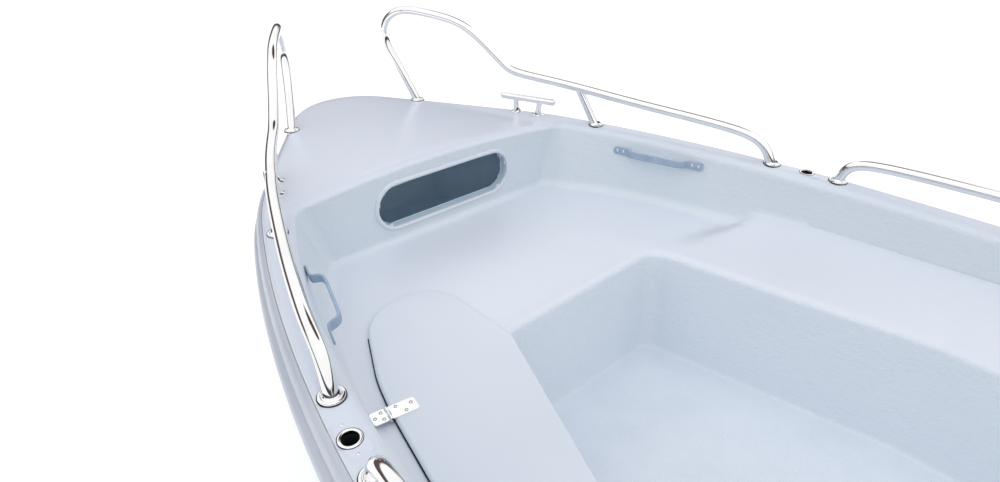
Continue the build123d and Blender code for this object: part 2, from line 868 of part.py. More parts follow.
# Grab handles: a bar bent out from two screwed pads
fore_end, aft_end = wall_point(handle_fore_x, handle_z), wall_point(handle_aft_x, handle_z)
handle_along = (fore_end - aft_end).normalized()
wall_up = Vector(0, wall_slope, 1).normalized()
handle_out = wall_up.cross(handle_along).normalized() * -1
if handle_out.Y > 0:
    handle_out = handle_out * -1
handle_middle = (fore_end + aft_end) * 0.5 + handle_out * handle_seat
handle_plane = Plane(origin=handle_middle, x_dir=handle_along, z_dir=handle_along.cross(handle_out))
half_handle = (fore_end - aft_end).length / 2
with BuildPart() as grab_handle_port:
    with BuildSketch(handle_plane.offset(-handle_height / 2)):
        with BuildLine():
            Polyline(
                (-half_handle, 0), (-half_handle, handle_pad_thickness),
                (-half_handle + handle_pad, handle_pad_thickness),
                (-half_handle + handle_pad + 14, handle_reach),
                (half_handle - handle_pad - 14, handle_reach),
                (half_handle - handle_pad, handle_pad_thickness),
                (half_handle, handle_pad_thickness), (half_handle, 0),
                (half_handle - handle_pad - 14, 0),
                (half_handle - handle_pad - 26, handle_reach - handle_bar),
                (-half_handle + handle_pad + 26, handle_reach - handle_bar),
                (-half_handle + handle_pad + 14, 0),
                close=True,
            )
        make_face()
    extrude(amount=handle_height)
save(grab_handle_port, "grab_handle_port")
with BuildPart() as grab_handle_starboard:
    add(mirror(grab_handle_port.part, about=Plane.XZ, mode=Mode.PRIVATE))
save(grab_handle_starboard, "grab_handle_starboard")

# Oarlock sockets: a flanged sleeve let into each gunwale
for side, word in ((1, "port"), (-1, "starboard")):
    with BuildPart() as socket:
        for x, y in socket_places:
            top = deck_plane(x, side * y, seat_gap)
            with Locations(top):
                Cylinder(socket_flange_radius, 2.0, align=(Align.CENTER, Align.CENTER, Align.MIN))
                Cylinder(socket_radius, socket_depth, align=(Align.CENTER, Align.CENTER, Align.MAX))
            with Locations(top.offset(2.0)):
                Cylinder(socket_bore, socket_depth - 4.0, align=(Align.CENTER, Align.CENTER, Align.MAX), mode=Mode.SUBTRACT)
    save(socket, f"oarlock_socket_{word}")

# Bow eye: a U-bolt through a plate on the stem
probe = Edge.make_line((bow_x - 600.0, 0, eye_z), (bow_x + 100.0, 0, eye_z))
stem_x = max(v.X for v in (probe & trimmed.part).vertices())
low_probe = Edge.make_line((bow_x - 600.0, 0, eye_z - 40.0), (bow_x + 100.0, 0, eye_z - 40.0))
low_x = max(v.X for v in (low_probe & trimmed.part).vertices())
stem_up = Vector(stem_x - low_x, 0, 40.0).normalized()
eye_plane = Plane(origin=Vector(stem_x + eye_seat, 0, eye_z), x_dir=stem_up, z_dir=Vector(stem_up.Z, 0, -stem_up.X))
with BuildPart() as bow_eye:
    with BuildSketch(eye_plane):
        SlotOverall(90.0, 26.0)
    extrude(amount=4.0)
    with BuildLine() as eye_path:
        FilletPolyline(
            eye_plane.from_local_coords((eye_radius, 0, 2)),
            eye_plane.from_local_coords((eye_radius, 0, eye_reach)),
            eye_plane.from_local_coords((-eye_radius, 0, eye_reach)),
            eye_plane.from_local_coords((-eye_radius, 0, 2)),
            radius=eye_radius * 0.95,
        )
    with BuildSketch(Plane(origin=eye_path.line @ 0, z_dir=eye_path.line % 0)):
        Circle(5.0)
    sweep(path=eye_path.wire())
save(bow_eye, "bow_eye")

# Drain plug in the transom
drain_plane = Plane(origin=(transom_x + (transom_top_z - drain_z) * tan(radians(transom_rake)), 0, drain_z), x_dir=(0, 1, 0),
                    z_dir=(-cos(radians(transom_rake)), 0, -sin(radians(transom_rake))))
with BuildPart() as drain_plug:
    with BuildSketch(drain_plane.offset(seat_gap)):
        Circle(22.0)
    extrude(amount=4.0)
    with BuildSketch(drain_plane.offset(seat_gap + 4.0)):
        RegularPolygon(11.0, 6)
    extrude(amount=9.0)
save(drain_plug, "drain_plug")

# Transom pads: plates inside and outside for the motor's clamps
with BuildPart() as transom_pads:
    with BuildSketch(Plane(origin=transom.origin, x_dir=(0, 1, 0), z_dir=transom.z_dir * -1).offset(seat_gap)):
        with Locations((0, pad_height / 2 + 6.0)):
            RectangleRounded(pad_width, pad_height, 12.0)
    extrude(amount=pad_thickness)
    with BuildSketch(Plane(origin=(transom_x + transom_thickness + seat_gap, 0, transom_top_z), x_dir=(0, 1, 0), z_dir=(1, 0, 0))):
        with Locations((0, -26.0)):
            RectangleRounded(pad_width, 40.0, 8.0)
    extrude(amount=pad_thickness)
save(transom_pads, "transom_pads")

# Outboard motor. Its clamp bracket hooks over the transom and carries the tilt tube
rake_run = tan(radians(transom_rake))
with BuildPart() as clamp_bracket:
    for y in (-arm_y, arm_y):
        with BuildSketch(Plane.XZ.offset(-y - arm_width / 2)):
            with BuildLine():
                face_x = transom_x - pad_thickness - 2 * seat_gap
                Polyline(
                    (inner_leg_x, transom_top_z + seat_gap),
                    (inner_leg_x, inner_leg_z),
                    (inner_leg_x + leg_thickness, inner_leg_z),
                    (inner_leg_x + leg_thickness, transom_top_z + 30.0),
                    (transom_x + 10.0, transom_top_z + 54.0),
                    (tilt_x - 24.0, tilt_z + 22.0),
                    (tilt_x - 30.0, tilt_z - 22.0),
                    (face_x - 34.0 + rake_run * 150.0, transom_top_z - 150.0),
                    (face_x + rake_run * 200.0 - 16.0, transom_top_z - 200.0),
                    (face_x + rake_run * 200.0, transom_top_z - 200.0),
                    (face_x, transom_top_z),
                    (face_x, transom_top_z + seat_gap),
                    close=True,
                )
            make_face()
        extrude(amount=arm_width)
    with Locations(Plane(origin=(tilt_x, 0, tilt_z), x_dir=(1, 0, 0), z_dir=(0, -1, 0))):
        Cylinder(tilt_tube_radius, 2 * arm_y + arm_width + 16.0)
save(clamp_bracket, "clamp_bracket")

# Clamp screws: threaded rods with pressure pads and bar handles
with BuildPart() as clamp_screws:
    for y in (-arm_y, arm_y):
        pad_x = transom_x + transom_thickness + pad_thickness + 2 * seat_gap
        with BuildSketch(Plane(origin=(pad_x, y, screw_z), x_dir=(0, 1, 0), z_dir=(1, 0, 0))):
            Circle(15.0)
        extrude(amount=inner_leg_x - pad_x - seat_gap)
        screw_x = inner_leg_x + leg_thickness + seat_gap
        with BuildSketch(Plane(origin=(screw_x, y, screw_z), x_dir=(0, 1, 0), z_dir=(1, 0, 0))):
            Circle(7.0)
        extrude(amount=46.0)
        with Locations(Plane(origin=(screw_x + 40.0, y, screw_z), x_dir=(1, 0, 0), z_dir=(0, 0, 1))):
            Cylinder(5.0, 60.0)
save(clamp_screws, "clamp_screws")

# Swivel bracket: a sleeve on the tilt tube, a web and the steering tube
with BuildPart() as swivel_bracket:
    with Locations(Plane(origin=(tilt_x, 0, tilt_z), x_dir=(1, 0, 0), z_dir=(0, -1, 0))):
        Cylinder(tilt_tube_radius + 9.0, 2 * (arm_y - arm_width / 2 - 6.0))
    with BuildSketch(Plane.XZ.offset(-swivel_web / 2)):
        with BuildLine():
            Polyline(
                (tilt_x, tilt_z + 18.0), (steer_x, swivel_top_z), (steer_x, swivel_bottom_z), (steer_x + 34.0, swivel_bottom_z),
                (tilt_x - 2.0, tilt_z - 18.0), close=True,
            )
        make_face()
    extrude(amount=swivel_web)
    with Locations((steer_x, 0, swivel_bottom_z)):
        Cylinder(swivel_radius, swivel_top_z - swivel_bottom_z, align=(Align.CENTER, Align.CENTER, Align.MIN))
    with Locations((steer_x, 0, swivel_bottom_z - 1.0)):
        Cylinder(steer_shaft_radius + running_gap, swivel_top_z - swivel_bottom_z + 2.0, align=(Align.CENTER, Align.CENTER, Align.MIN),
                 mode=Mode.SUBTRACT)
    with Locations(Plane(origin=(tilt_x, 0, tilt_z), x_dir=(1, 0, 0), z_dir=(0, -1, 0))):
        Cylinder(tilt_tube_radius + running_gap, 2 * arm_y, mode=Mode.SUBTRACT)
save(swivel_bracket, "swivel_bracket")

# Drive leg: steering shaft, column, ventilation plate, gearcase and skeg
with BuildPart() as drive_leg:
    with Locations((steer_x, 0, swivel_bottom_z - 40.0)):
        Cylinder(steer_shaft_radius, pan_z - swivel_bottom_z + 40.0, align=(Align.CENTER, Align.CENTER, Align.MIN))
    for front, length, half_width, z in ((steer_x + 30.0, 120.0, 42.0, swivel_bottom_z - 50.0), (steer_x + 34.0, 130.0, 42.0, swivel_bottom_z - 6.0)):
        with BuildSketch(Plane.XY.offset(z)):
            with Locations((front - length / 2, 0)):
                RectangleRounded(length, 2 * half_width, 20.0)
    loft(ruled=True)
    for front, length, half_width, z in column_sections:
        with BuildSketch(Plane.XY.offset(z)):
            with Locations((front - length / 2, 0)):
                RectangleRounded(length, 2 * half_width, half_width * 0.8)
    loft(ruled=True)
    with BuildSketch(Plane.XY.offset(plate_z)):
        with BuildLine():
            Polyline((plate_front_x, 0), (plate_front_x - 60, 55), (plate_front_x - 190, 84), (plate_front_x - 350, 76),
                     (plate_front_x - 350, -76), (plate_front_x - 190, -84), (plate_front_x - 60, -55), close=True)
        make_face()
        fillet(vertices(), 22.0)
    extrude(amount=7.0)
    with BuildSketch(Plane.XZ):
        with BuildLine():
            Polyline((gear_nose_x, gear_z), (gear_nose_x - 18, gear_z + 24), (gear_nose_x - 70, gear_z + gear_radius),
                     (gear_tail_x + 30, gear_z + gear_radius), (gear_tail_x, gear_z + gear_radius - 8), (gear_tail_x, gear_z), close=True)
        make_face()
    revolve(axis=Axis((gear_nose_x, 0, gear_z), (1, 0, 0)))
    with BuildSketch(Plane.XZ.offset(-3.0)):
        with BuildLine():
            Polyline((gear_nose_x - 30, gear_z), (gear_nose_x - 60, gear_z - 60), (gear_nose_x - 130, skeg_z), (gear_nose_x - 175, skeg_z),
                     (gear_tail_x + 6, gear_z - 50), (gear_tail_x + 20, gear_z), close=True)
        make_face()
    extrude(amount=6.0)
    with Locations(Plane(origin=(gear_tail_x + 20.0, 0, gear_z), x_dir=(0, 1, 0), z_dir=(-1, 0, 0))):
        Cylinder(prop_shaft_radius, 20.0 + prop_hub_length + 8.0, align=(Align.CENTER, Align.CENTER, Align.MIN))
save(drive_leg, "drive_leg")

# Propeller: three pitched blades on a hub, bored for its shaft
with BuildPart() as propeller:
    hub_plane = Plane(origin=(gear_tail_x - 2.0, 0, gear_z), x_dir=(0, 1, 0), z_dir=(-1, 0, 0))
    with BuildSketch(hub_plane):
        Circle(prop_hub_radius)
    extrude(amount=prop_hub_length, taper=2.0)
    for k in range(3):
        turn = radians(120.0 * k)
        outward = Vector(0, cos(turn), sin(turn))
        around = Vector(0, -sin(turn), cos(turn))
        chord = around * cos(radians(prop_pitch)) + Vector(-1, 0, 0) * sin(radians(prop_pitch))
        root = Vector(gear_tail_x - 2.0 - prop_hub_length / 2, 0, gear_z)
        blade_plane = Plane(origin=root, x_dir=outward, z_dir=outward.cross(chord))
        with BuildSketch(blade_plane.offset(-2.0)):
            with Locations((prop_radius * 0.56, 0)):
                Ellipse(prop_radius * 0.44, prop_blade_half_chord)
            with Locations((prop_radius * 0.3, 0)):
                Rectangle(prop_radius * 0.3, prop_blade_half_chord * 1.1)
        extrude(amount=4.0)
    with BuildSketch(hub_plane):
        Circle(prop_shaft_radius + running_gap)
    extrude(amount=prop_hub_length, mode=Mode.SUBTRACT)
save(propeller, "propeller")

# Bottom pan, which carries the engine and the cowl, and the stowed tiller's bracket
with BuildPart() as motor_pan:
    for grow, z in ((-pan_flare, pan_z), (0.0, pan_z + pan_flare), (0.0, cowl_z - seat_gap)):
        with BuildSketch(Plane.XY.offset(z)):
            with Locations((cowl_x, 0)):
                RectangleRounded(cowl_length + 2 * grow, cowl_width + 2 * grow, cowl_corner + grow)
    loft(ruled=True)
save(motor_pan, "motor_pan")


def cowl_shape(inset):
    """The cowl's outer form, or its inner one when inset."""
    with BuildPart() as shape:
        for shrink, shift, z in cowl_sections:
            with BuildSketch(Plane.XY.offset(z - (inset if z > cowl_z else 0.0))):
                with Locations((cowl_x + shift, 0)):
                    RectangleRounded(cowl_length - 2 * (shrink + inset), cowl_width - 2 * (shrink * 0.8 + inset),
                                     cowl_corner - 0.5 * shrink - inset)
        loft(ruled=True)
    return shape.part


with BuildPart() as motor_cowl:
    add(cowl_shape(0.0))
    add(cowl_shape(cowl_wall), mode=Mode.SUBTRACT)
save(motor_cowl, "motor_cowl")

# Engine: one block for the powerhead
with BuildPart() as powerhead:
    with Locations((cowl_x - 10.0, 0, cowl_z)):
        Box(cowl_length * 0.62, cowl_width * 0.6, engine_height, align=(Align.CENTER, Align.CENTER, Align.MIN))
save(powerhead, "powerhead")

# Tiller, folded up against the cowl's front
with BuildPart() as tiller:
    pan_front_x = cowl_x + cowl_length / 2 + seat_gap
    with BuildSketch(Plane.XY.offset(pan_z + pan_flare)):
        with Locations(((pan_front_x + tiller_x + 17.0) / 2, tiller_y)):
            Rectangle(tiller_x + 17.0 - pan_front_x, 30.0)
    extrude(amount=cowl_z - pan_z - pan_flare - seat_gap)
    with BuildSketch(Plane.XY.offset(cowl_z - seat_gap)):
        with Locations((tiller_x, tiller_y)):
            Circle(12.0)
    extrude(amount=tiller_length * 0.62)
    with BuildSketch(Plane.XY.offset(cowl_z - seat_gap + tiller_length * 0.62)):
        with Locations((tiller_x, tiller_y)):
            Circle(17.0)
    extrude(amount=tiller_length * 0.38)
    fillet(tiller.edges().sort_by(Axis.Z)[-1], 8.0)
save(tiller, "tiller")
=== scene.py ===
import math

import bmesh
import bpy
import numpy as np
from mathutils import Matrix


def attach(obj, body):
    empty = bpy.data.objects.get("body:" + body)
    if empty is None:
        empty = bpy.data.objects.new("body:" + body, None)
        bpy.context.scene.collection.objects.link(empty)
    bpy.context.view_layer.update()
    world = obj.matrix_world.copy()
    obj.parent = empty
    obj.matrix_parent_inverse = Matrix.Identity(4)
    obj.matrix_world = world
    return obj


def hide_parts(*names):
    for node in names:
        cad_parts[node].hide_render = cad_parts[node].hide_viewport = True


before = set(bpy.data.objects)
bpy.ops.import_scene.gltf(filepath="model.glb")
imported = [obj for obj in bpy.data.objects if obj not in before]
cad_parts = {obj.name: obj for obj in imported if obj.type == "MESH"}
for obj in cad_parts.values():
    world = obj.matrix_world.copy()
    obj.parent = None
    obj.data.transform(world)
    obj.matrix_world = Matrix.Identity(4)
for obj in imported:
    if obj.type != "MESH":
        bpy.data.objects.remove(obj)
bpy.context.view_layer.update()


# Hull: the outer laminate, laid up in a polished female mould, so its gelcoat is smooth and glossy.
# It runs from a round-nosed stem to a raked transom, with a hard chine and a narrow flat beside it.
class Field:
    """A shader socket that takes part in arithmetic: each operator adds its Math node."""

    def __init__(self, tree, socket):
        self.tree, self.socket = tree, socket

    def node(self, kind, settings, sockets, output=0):
        """Adds a node: its settings first, then its sockets' values or links. Returns one output."""
        made = self.tree.nodes.new(kind)
        for name, value in settings.items():
            setattr(made, name, value)
        for name, value in sockets.items():
            if isinstance(value, Field):
                self.tree.links.new(value.socket, made.inputs[name])
            else:
                made.inputs[name].default_value = value
        return Field(self.tree, made.outputs[output])

    def maths(self, operation, first, second):
        return self.node("ShaderNodeMath", {"operation": operation}, {0: first, 1: second})

    def __add__(self, other):
        return self.maths("ADD", self, other)

    def __mul__(self, other):
        return self.maths("MULTIPLY", self, other)

    def __rsub__(self, other):
        return self.maths("SUBTRACT", other, self)

    __radd__, __rmul__ = __add__, __mul__

    def step(self, low, high):
        """0 below low, 1 above high, smooth between."""
        sockets = {"Value": self, "From Min": low, "From Max": high}
        return self.node("ShaderNodeMapRange", {"interpolation_type": "SMOOTHSTEP"}, sockets)

    def mix(self, low, high):
        """Low where this field is 0, high where it is 1, for colours."""
        return self.node("ShaderNodeMix", {"data_type": "RGBA"}, {0: self, 6: low, 7: high}, 2)

    def noise(self, place, scale, detail=2.0, roughness=0.5):
        """Cloudy variation about one half, with so many waves to the metre."""
        sockets = {"Vector": place, "Scale": scale, "Detail": detail, "Roughness": roughness}
        return self.node("ShaderNodeTexNoise", {}, sockets)

    def clouded(self, place, scale, detail, dark, light):
        """Two near shades in soft clouds: the noise from 0.3 to 0.7 spread from one to the other."""
        return self.noise(place, scale, detail).step(0.3, 0.7).mix(colour(*dark), colour(*light))

    def bump(self, strength, distance, height):
        """A normal tilted by the slope of a height field."""
        sockets = {"Strength": strength, "Distance": distance, "Height": height}
        return self.node("ShaderNodeBump", {}, sockets)

    def feed(self, **sockets):
        """Links fields to this shader's own sockets."""
        for name, value in sockets.items():
            self.tree.links.new(value.socket, self.socket.node.inputs[name.replace("_", " ")])


def colour(red, green, blue):
    """Screen values up to 255 in linear light, by the sRGB curve: straight near black, and above
    it the power 2.4 of the value raised by 0.055 and divided by 1.055."""
    shares = np.array([red, green, blue]) / 255
    linear = np.where(shares < 0.0404, shares / 12.92, ((shares + 0.055) / 1.055) ** 2.4)
    return (*linear.tolist(), 1.0)


def finish(name, **sockets):
    """A material with its shader's plain sockets set by name. Returns it, its shader and its
    object coordinates."""
    material = bpy.data.materials.new(name)
    material.use_nodes = True
    made = material.node_tree.nodes["Principled BSDF"]
    for socket, value in sockets.items():
        made.inputs[socket.replace("_", " ")].default_value = value
    shader = Field(material.node_tree, made.outputs[0])
    return material, shader, shader.node("ShaderNodeTexCoord", {}, {}, "Object")


def sheet(name, grids, material, body, sharp=35.0, left_open=None):
    """A mesh of grids of points: each row of points is joined to the next by quads, facing along
    the cross product of the row direction and the column direction. Seams and poles are welded.
    left_open takes the quads' middles and says which are left out."""
    points, quads, base = [], [], 0
    for grid in grids:
        rows, columns = grid.shape[:2]
        index = base + np.arange(rows * columns).reshape(rows, columns)
        corners = (index[:-1, :-1], index[1:, :-1], index[1:, 1:], index[:-1, 1:])
        quads.append(np.stack(corners, axis=-1).reshape(-1, 4))
        points.append(grid.reshape(-1, 3))
        base += rows * columns
    points, quads = np.concatenate(points), np.concatenate(quads)
    if left_open:
        quads = quads[~left_open(points[quads].mean(axis=1))]
    mesh = bpy.data.meshes.new(name)
    mesh.from_pydata(points.tolist(), [], quads.tolist())
    welded = bmesh.new()
    welded.from_mesh(mesh)
    bmesh.ops.remove_doubles(welded, verts=welded.verts, dist=2e-6)
    bmesh.ops.delete(welded, geom=[v for v in welded.verts if not v.link_faces], context="VERTS")
    welded.to_mesh(mesh)
    welded.free()
    mesh.shade_smooth()
    mesh.set_sharp_from_angle(angle=math.radians(sharp))
    mesh.materials.append(material)
    piece = bpy.data.objects.new(name, mesh)
    bpy.context.scene.collection.objects.link(piece)
    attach(piece, body)
    return piece


# the deck's edge in plan: arcs of a radius and a turn in degrees, from the bow's tip aft, and
# then a straight run
arcs = np.array([(0.224, 55.4), (15.95, 2.1), (1.077, 11.0), (3.63, 16.4), (9.8, 8.1)])
straight_run = 1.6
deck_z, deck_slope, bow_x, transom_x = 0.584, 0.033, 2.231, -2.25
transom_lean = math.tan(math.radians(12.0))
sill_z, well_half_y = 0.35, 0.30

# the heading turns evenly along each arc, and the edge's place is the running sum of small
# steps along the heading
arc_ends = np.concatenate([[0.0], np.cumsum(arcs[:, 0] * np.radians(arcs[:, 1]))])
arc_headings = np.radians(90.0 + np.concatenate([[0.0], np.cumsum(arcs[:, 1])]))
edge_run = np.linspace(0.0, arc_ends[-1] + straight_run, 8001)
edge_heading = np.interp(edge_run, arc_ends, arc_headings)
middle_heading = (edge_heading[1:] + edge_heading[:-1]) / 2
steps = np.stack([np.cos(middle_heading), np.sin(middle_heading)], axis=1) * edge_run[1]
edge = np.array([bow_x, 0.0]) + np.concatenate([[(0.0, 0.0)], np.cumsum(steps, axis=0)])
inward = np.stack([-np.sin(edge_heading), np.cos(edge_heading)], axis=1)


def half_breadth(x, line=edge):
    """Half-breadth of a line round the port side, at stations."""
    return np.interp(-x, -line[:, 0], line[:, 1])


def deck_height(x):
    """The deck's height, which climbs evenly toward the bow."""
    return deck_z + deck_slope * x


def transom_station(z):
    """Where the raked transom stands at a height."""
    return transom_x - (z - sill_z) * transom_lean


def blend(first, last, shares):
    """Rows of points between two rows, at given shares of the way."""
    return first + np.asarray(shares)[:, None, None] * (last - first)


smooth_gelcoat, shader, place = finish("smooth_gelcoat", Coat_Weight=0.35, Coat_Roughness=0.12, IOR=1.5)
shader.feed(
    Base_Color=shader.clouded(place, 1.7, 3.0, (214, 220, 230), (219, 225, 234)),
    Roughness=0.2 + 0.12 * shader.noise(place, 9.0, 4.0),
    Normal=shader.bump(0.12, 0.002, shader.noise(place, 16.0, 3.0)),
)

# stations: the keel sweeps up to the stem, the chine climbs and draws in, and each section
# runs from keel to chine flat to chine to the knuckle under the strake to the deck's edge
stem_reach, stern_end_x, knuckle_drop, edge_drop = 0.36, -2.3, 0.100, 0.014
keel_z, keel_rise, keel_rise_x = -0.168, 0.618, 0.5
chine_y, chine_narrowing, chine_bend_x, flat_width = 0.715, 0.96, -0.6, 0.042
chine_z, chine_rise, stern_knuckle_z, stern_half_y = -0.014, 0.519, 0.4097, 0.811
stations = np.concatenate([
    bow_x - stem_reach * (1 - np.cos(np.linspace(0.02, np.pi / 2, 30))),
    np.linspace(bow_x - stem_reach, stern_end_x, 111)[1:],
])
keel = keel_z + keel_rise * (np.clip(stations - keel_rise_x, 0, None) / (bow_x - keel_rise_x)) ** 4
side_out = half_breadth(stations)
knuckle = deck_height(stations) - knuckle_drop
toward_bow = np.clip(stations - chine_bend_x, 0, None) / (bow_x - chine_bend_x)
chine_out = np.minimum(chine_y * (1.0 - chine_narrowing * toward_bow**3.1), 0.93 * side_out)
chine_up = chine_z + chine_rise * (np.clip(stations, 0, None) / bow_x) ** 4.2
chine_up = np.minimum(chine_up, knuckle - 0.02)
flat_out = chine_out * (1 - flat_width / chine_y)
sill_share = (sill_z - chine_z) / (stern_knuckle_z - chine_z)
side_shares = np.unique(np.append(np.linspace(0.0, 1.0, 15), sill_share))
section = [(t * flat_out, keel + t * (chine_up - keel)) for t in np.linspace(0, 1, 9)]
section += [(chine_out, chine_up)]
section += [
    (chine_out + t**0.93 * (side_out - chine_out), chine_up + t * (knuckle - chine_up))
    for t in side_shares[1:]
]
section += [(side_out, deck_height(stations) - edge_drop)]
hull_grid = np.array([np.stack([stations, out, up], axis=1) for out, up in section])
hull_grid[..., 0] = np.maximum(hull_grid[..., 0], transom_station(hull_grid[..., 2]))
mirrored, sides = np.array([1.0, -1.0, 1.0]), (("port", 1), ("starboard", -1))

# the transom is the hull's last line drawn across to the other side. Above the sill only the
# parts outside the motor well stand.
well_share = well_half_y / stern_half_y
across = np.concatenate([
    np.linspace(-1, -well_share, 7),
    np.linspace(-well_share, well_share, 7)[1:-1],
    np.linspace(well_share, 1, 7),
])
stern_row = hull_grid[:, -1]
transom_grid = stern_row[:, None] * np.column_stack([np.ones_like(across), across, np.ones_like(across)])
sill_row = int(np.argmin(np.abs(stern_row[:, 2] - sill_z)))
cheeks = [transom_grid[sill_row:, :7], transom_grid[sill_row:, -7:]]
hull = sheet(
    "hull_skin",
    [hull_grid[:, ::-1], hull_grid * mirrored, transom_grid[:sill_row + 1], *cheeks],
    smooth_gelcoat, "boat", sharp=25.0,
)
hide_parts("hull")


# Deck moulding: one laminate from the deck's edge over the gunwales, down the cockpit's sides,
# across the benches and down into the footwell. Its level parts are plain gelcoat, painted a little darker
# high up on the deck and gunwales than on the benches, as painted shade. Its upright parts carry the fine
# hammered grain of the mould and are painted a little lighter, as painted light. The sole has flecks of
# non-skid grit.
bench_z, sole_z, bulkhead_x, cockpit_aft_x, motor_well_x = 0.407, 0.077, 1.465, -2.06, -1.83
gunwale_width, wall_slope, crown_height, crown_radius = 0.070, 0.16, 0.028, 3.8
edge_round, stern_deck_z = 0.014, 0.51
# the footwell's outline, half on each side, from the middle line forward to the middle line aft
well_radius = 0.055
well_aft = [(0.150, 0.490), (-1.43, 0.490), (-1.43, 0.0)]
well_port = [(0.895, 0.0), (0.895, 0.262), (0.440, 0.425)] + well_aft
well_starboard = [(0.895, 0.0), (0.895, 0.354), (0.440, 0.436)] + well_aft


def bend(before, corner, after, count):
    """A round corner between two points as far from the corner: a quadratic curve whose middle
    weight is the cosine of half the turn, which makes it an arc of a circle."""
    before, corner, after = (np.asarray(p, float) for p in (before, corner, after))
    one, two = corner - before, after - corner
    cosine = one @ two / (np.linalg.norm(one) * np.linalg.norm(two))
    weight = math.sqrt((1 + cosine) / 2)
    t = np.linspace(0, 1, count)[:, None]
    share = np.hstack([(1 - t) ** 2, 2 * weight * t * (1 - t), t**2])
    return share @ np.array([before, corner, after]) / share.sum(axis=1, keepdims=True)


def rounded(points, radius):
    """A line of straight runs with every inner corner rounded, to one radius or to one each."""
    points = np.asarray(points, float)
    pieces = [points[:1]]
    radii = np.broadcast_to(radius, len(points) - 2)
    for before, corner, after, turn in zip(points[:-2], points[1:-1], points[2:], radii):
        one, two = before - corner, after - corner
        one, two = one / np.linalg.norm(one), two / np.linalg.norm(two)
        reach = turn / math.tan(math.acos(np.clip(one @ two, -1, 1)) / 2)
        pieces.append(bend(corner + one * reach, corner, corner + two * reach, 12))
    return np.concatenate(pieces + [points[-1:]])


def measured(points):
    """The running length along a line of points."""
    return np.concatenate([[0.0], np.cumsum(np.linalg.norm(np.diff(points, axis=0), axis=1))])


def along(points, start, end, count):
    """Evenly spaced points between two running lengths of a line, the last one left out."""
    run = measured(points)
    places = np.linspace(start, end, count, endpoint=False)
    return np.stack([np.interp(places, run, points[:, k]) for k in range(points.shape[1])], axis=1)


def respaced(line, count):
    """A line as evenly spaced points, both ends kept."""
    return np.vstack([along(line, 0.0, measured(line)[-1], count), line[-1:]])


# every row of the moulding has the same columns: bulkhead, corner, side, corner, stern, well
columns = (36, 12, 150, 10, 16, 12)


def cockpit_row(inset, front_x, aft_x, radius):
    """Half a row at given insets from the deck's edge, between two cross lines, with round
    corners: points in plan from the middle line forward to the middle line aft. A corner's curve
    starts as far from it as the radius times the tangent of half its turn."""
    line = edge + inward * inset[:, None]
    chord = 0.06
    corner = np.array([front_x, half_breadth(front_x, line)])
    leaving = np.array([front_x - chord, half_breadth(front_x - chord, line)]) - corner
    leaving /= np.linalg.norm(leaving)
    reach = radius * math.tan(math.acos(leaving[1]) / 2)
    first, second = corner - (0, reach), corner + leaving * reach
    stern_corner = np.array([aft_x, half_breadth(aft_x, line)])
    third, fourth = stern_corner + (radius, 0), stern_corner - (0, radius)
    third[1] = half_breadth(third[0], line)
    side_x = np.linspace(second[0], third[0], columns[2], endpoint=False)
    return np.concatenate([
        np.linspace((front_x, 0.0), first, columns[0], endpoint=False),
        bend(first, corner, second, columns[1] + 1)[:-1],
        np.stack([side_x, half_breadth(side_x, line)], axis=1),
        bend(third, stern_corner, fourth, columns[3] + 1)[:-1],
        np.linspace(fourth, (aft_x, well_half_y), columns[4], endpoint=False),
        np.linspace((aft_x, well_half_y), (aft_x, 0.0), columns[5]),
    ])


def deck_row(inset, aft_x):
    """Half a row of the deck's outer edge: round the bow, down the side and across the transom."""
    line = edge + inward * inset
    run = measured(line)
    side_start, side_end = bulkhead_x - 0.035, cockpit_aft_x + 0.036
    at_front, at_start = (np.interp(-x, -line[:, 0], run) for x in (bulkhead_x + 0.02, side_start))
    side_x = np.linspace(side_start, side_end, columns[2], endpoint=False)
    stern = [(x, half_breadth(x, line)) for x in (side_end, aft_x)]
    stern = np.array([*stern, (aft_x, well_half_y)])
    stern_run = measured(stern)
    return np.concatenate([
        along(line, 0.0, at_front, columns[0]),
        along(line, at_front, at_start, columns[1]),
        np.stack([side_x, half_breadth(side_x, line)], axis=1),
        along(stern, 0.0, stern_run[1], columns[3]),
        along(stern, stern_run[1], stern_run[2], columns[4]),
        np.linspace((aft_x, well_half_y), (aft_x, 0.0), columns[5]),
    ])


def crown(x, y):
    """The foredeck's crown over the deck: crown_height at the bulkhead's middle, falling evenly
    to the bow, and to the sides by the square of y over twice the radius."""
    forward = np.clip((bow_x - x) / (bow_x - bulkhead_x), 0, 1)
    rise = np.clip(crown_height * forward - y**2 / (2 * crown_radius), 0, None)
    return rise * (x > bulkhead_x - 0.002)


def deck_point(x, y):
    """A point on the deck, crown included."""
    return np.array([x, y, deck_height(x) + crown(x, y)])


def at_height(plan, height):
    """Points in plan lifted to a height or to a list of heights."""
    return np.column_stack([plan, np.broadcast_to(height, len(plan))])


def on_deck(plan, drop):
    """Points in plan lifted to the deck, crown included, less a drop. The bulkhead's rim, up to
    30 mm aft of it, has the crown that the bulkhead has."""
    x = plan[:, 0]
    crown_x = np.where((x > bulkhead_x - 0.03) & (x < bulkhead_x), bulkhead_x, x)
    return at_height(plan, deck_height(x) + crown(crown_x, plan[:, 1]) - drop)


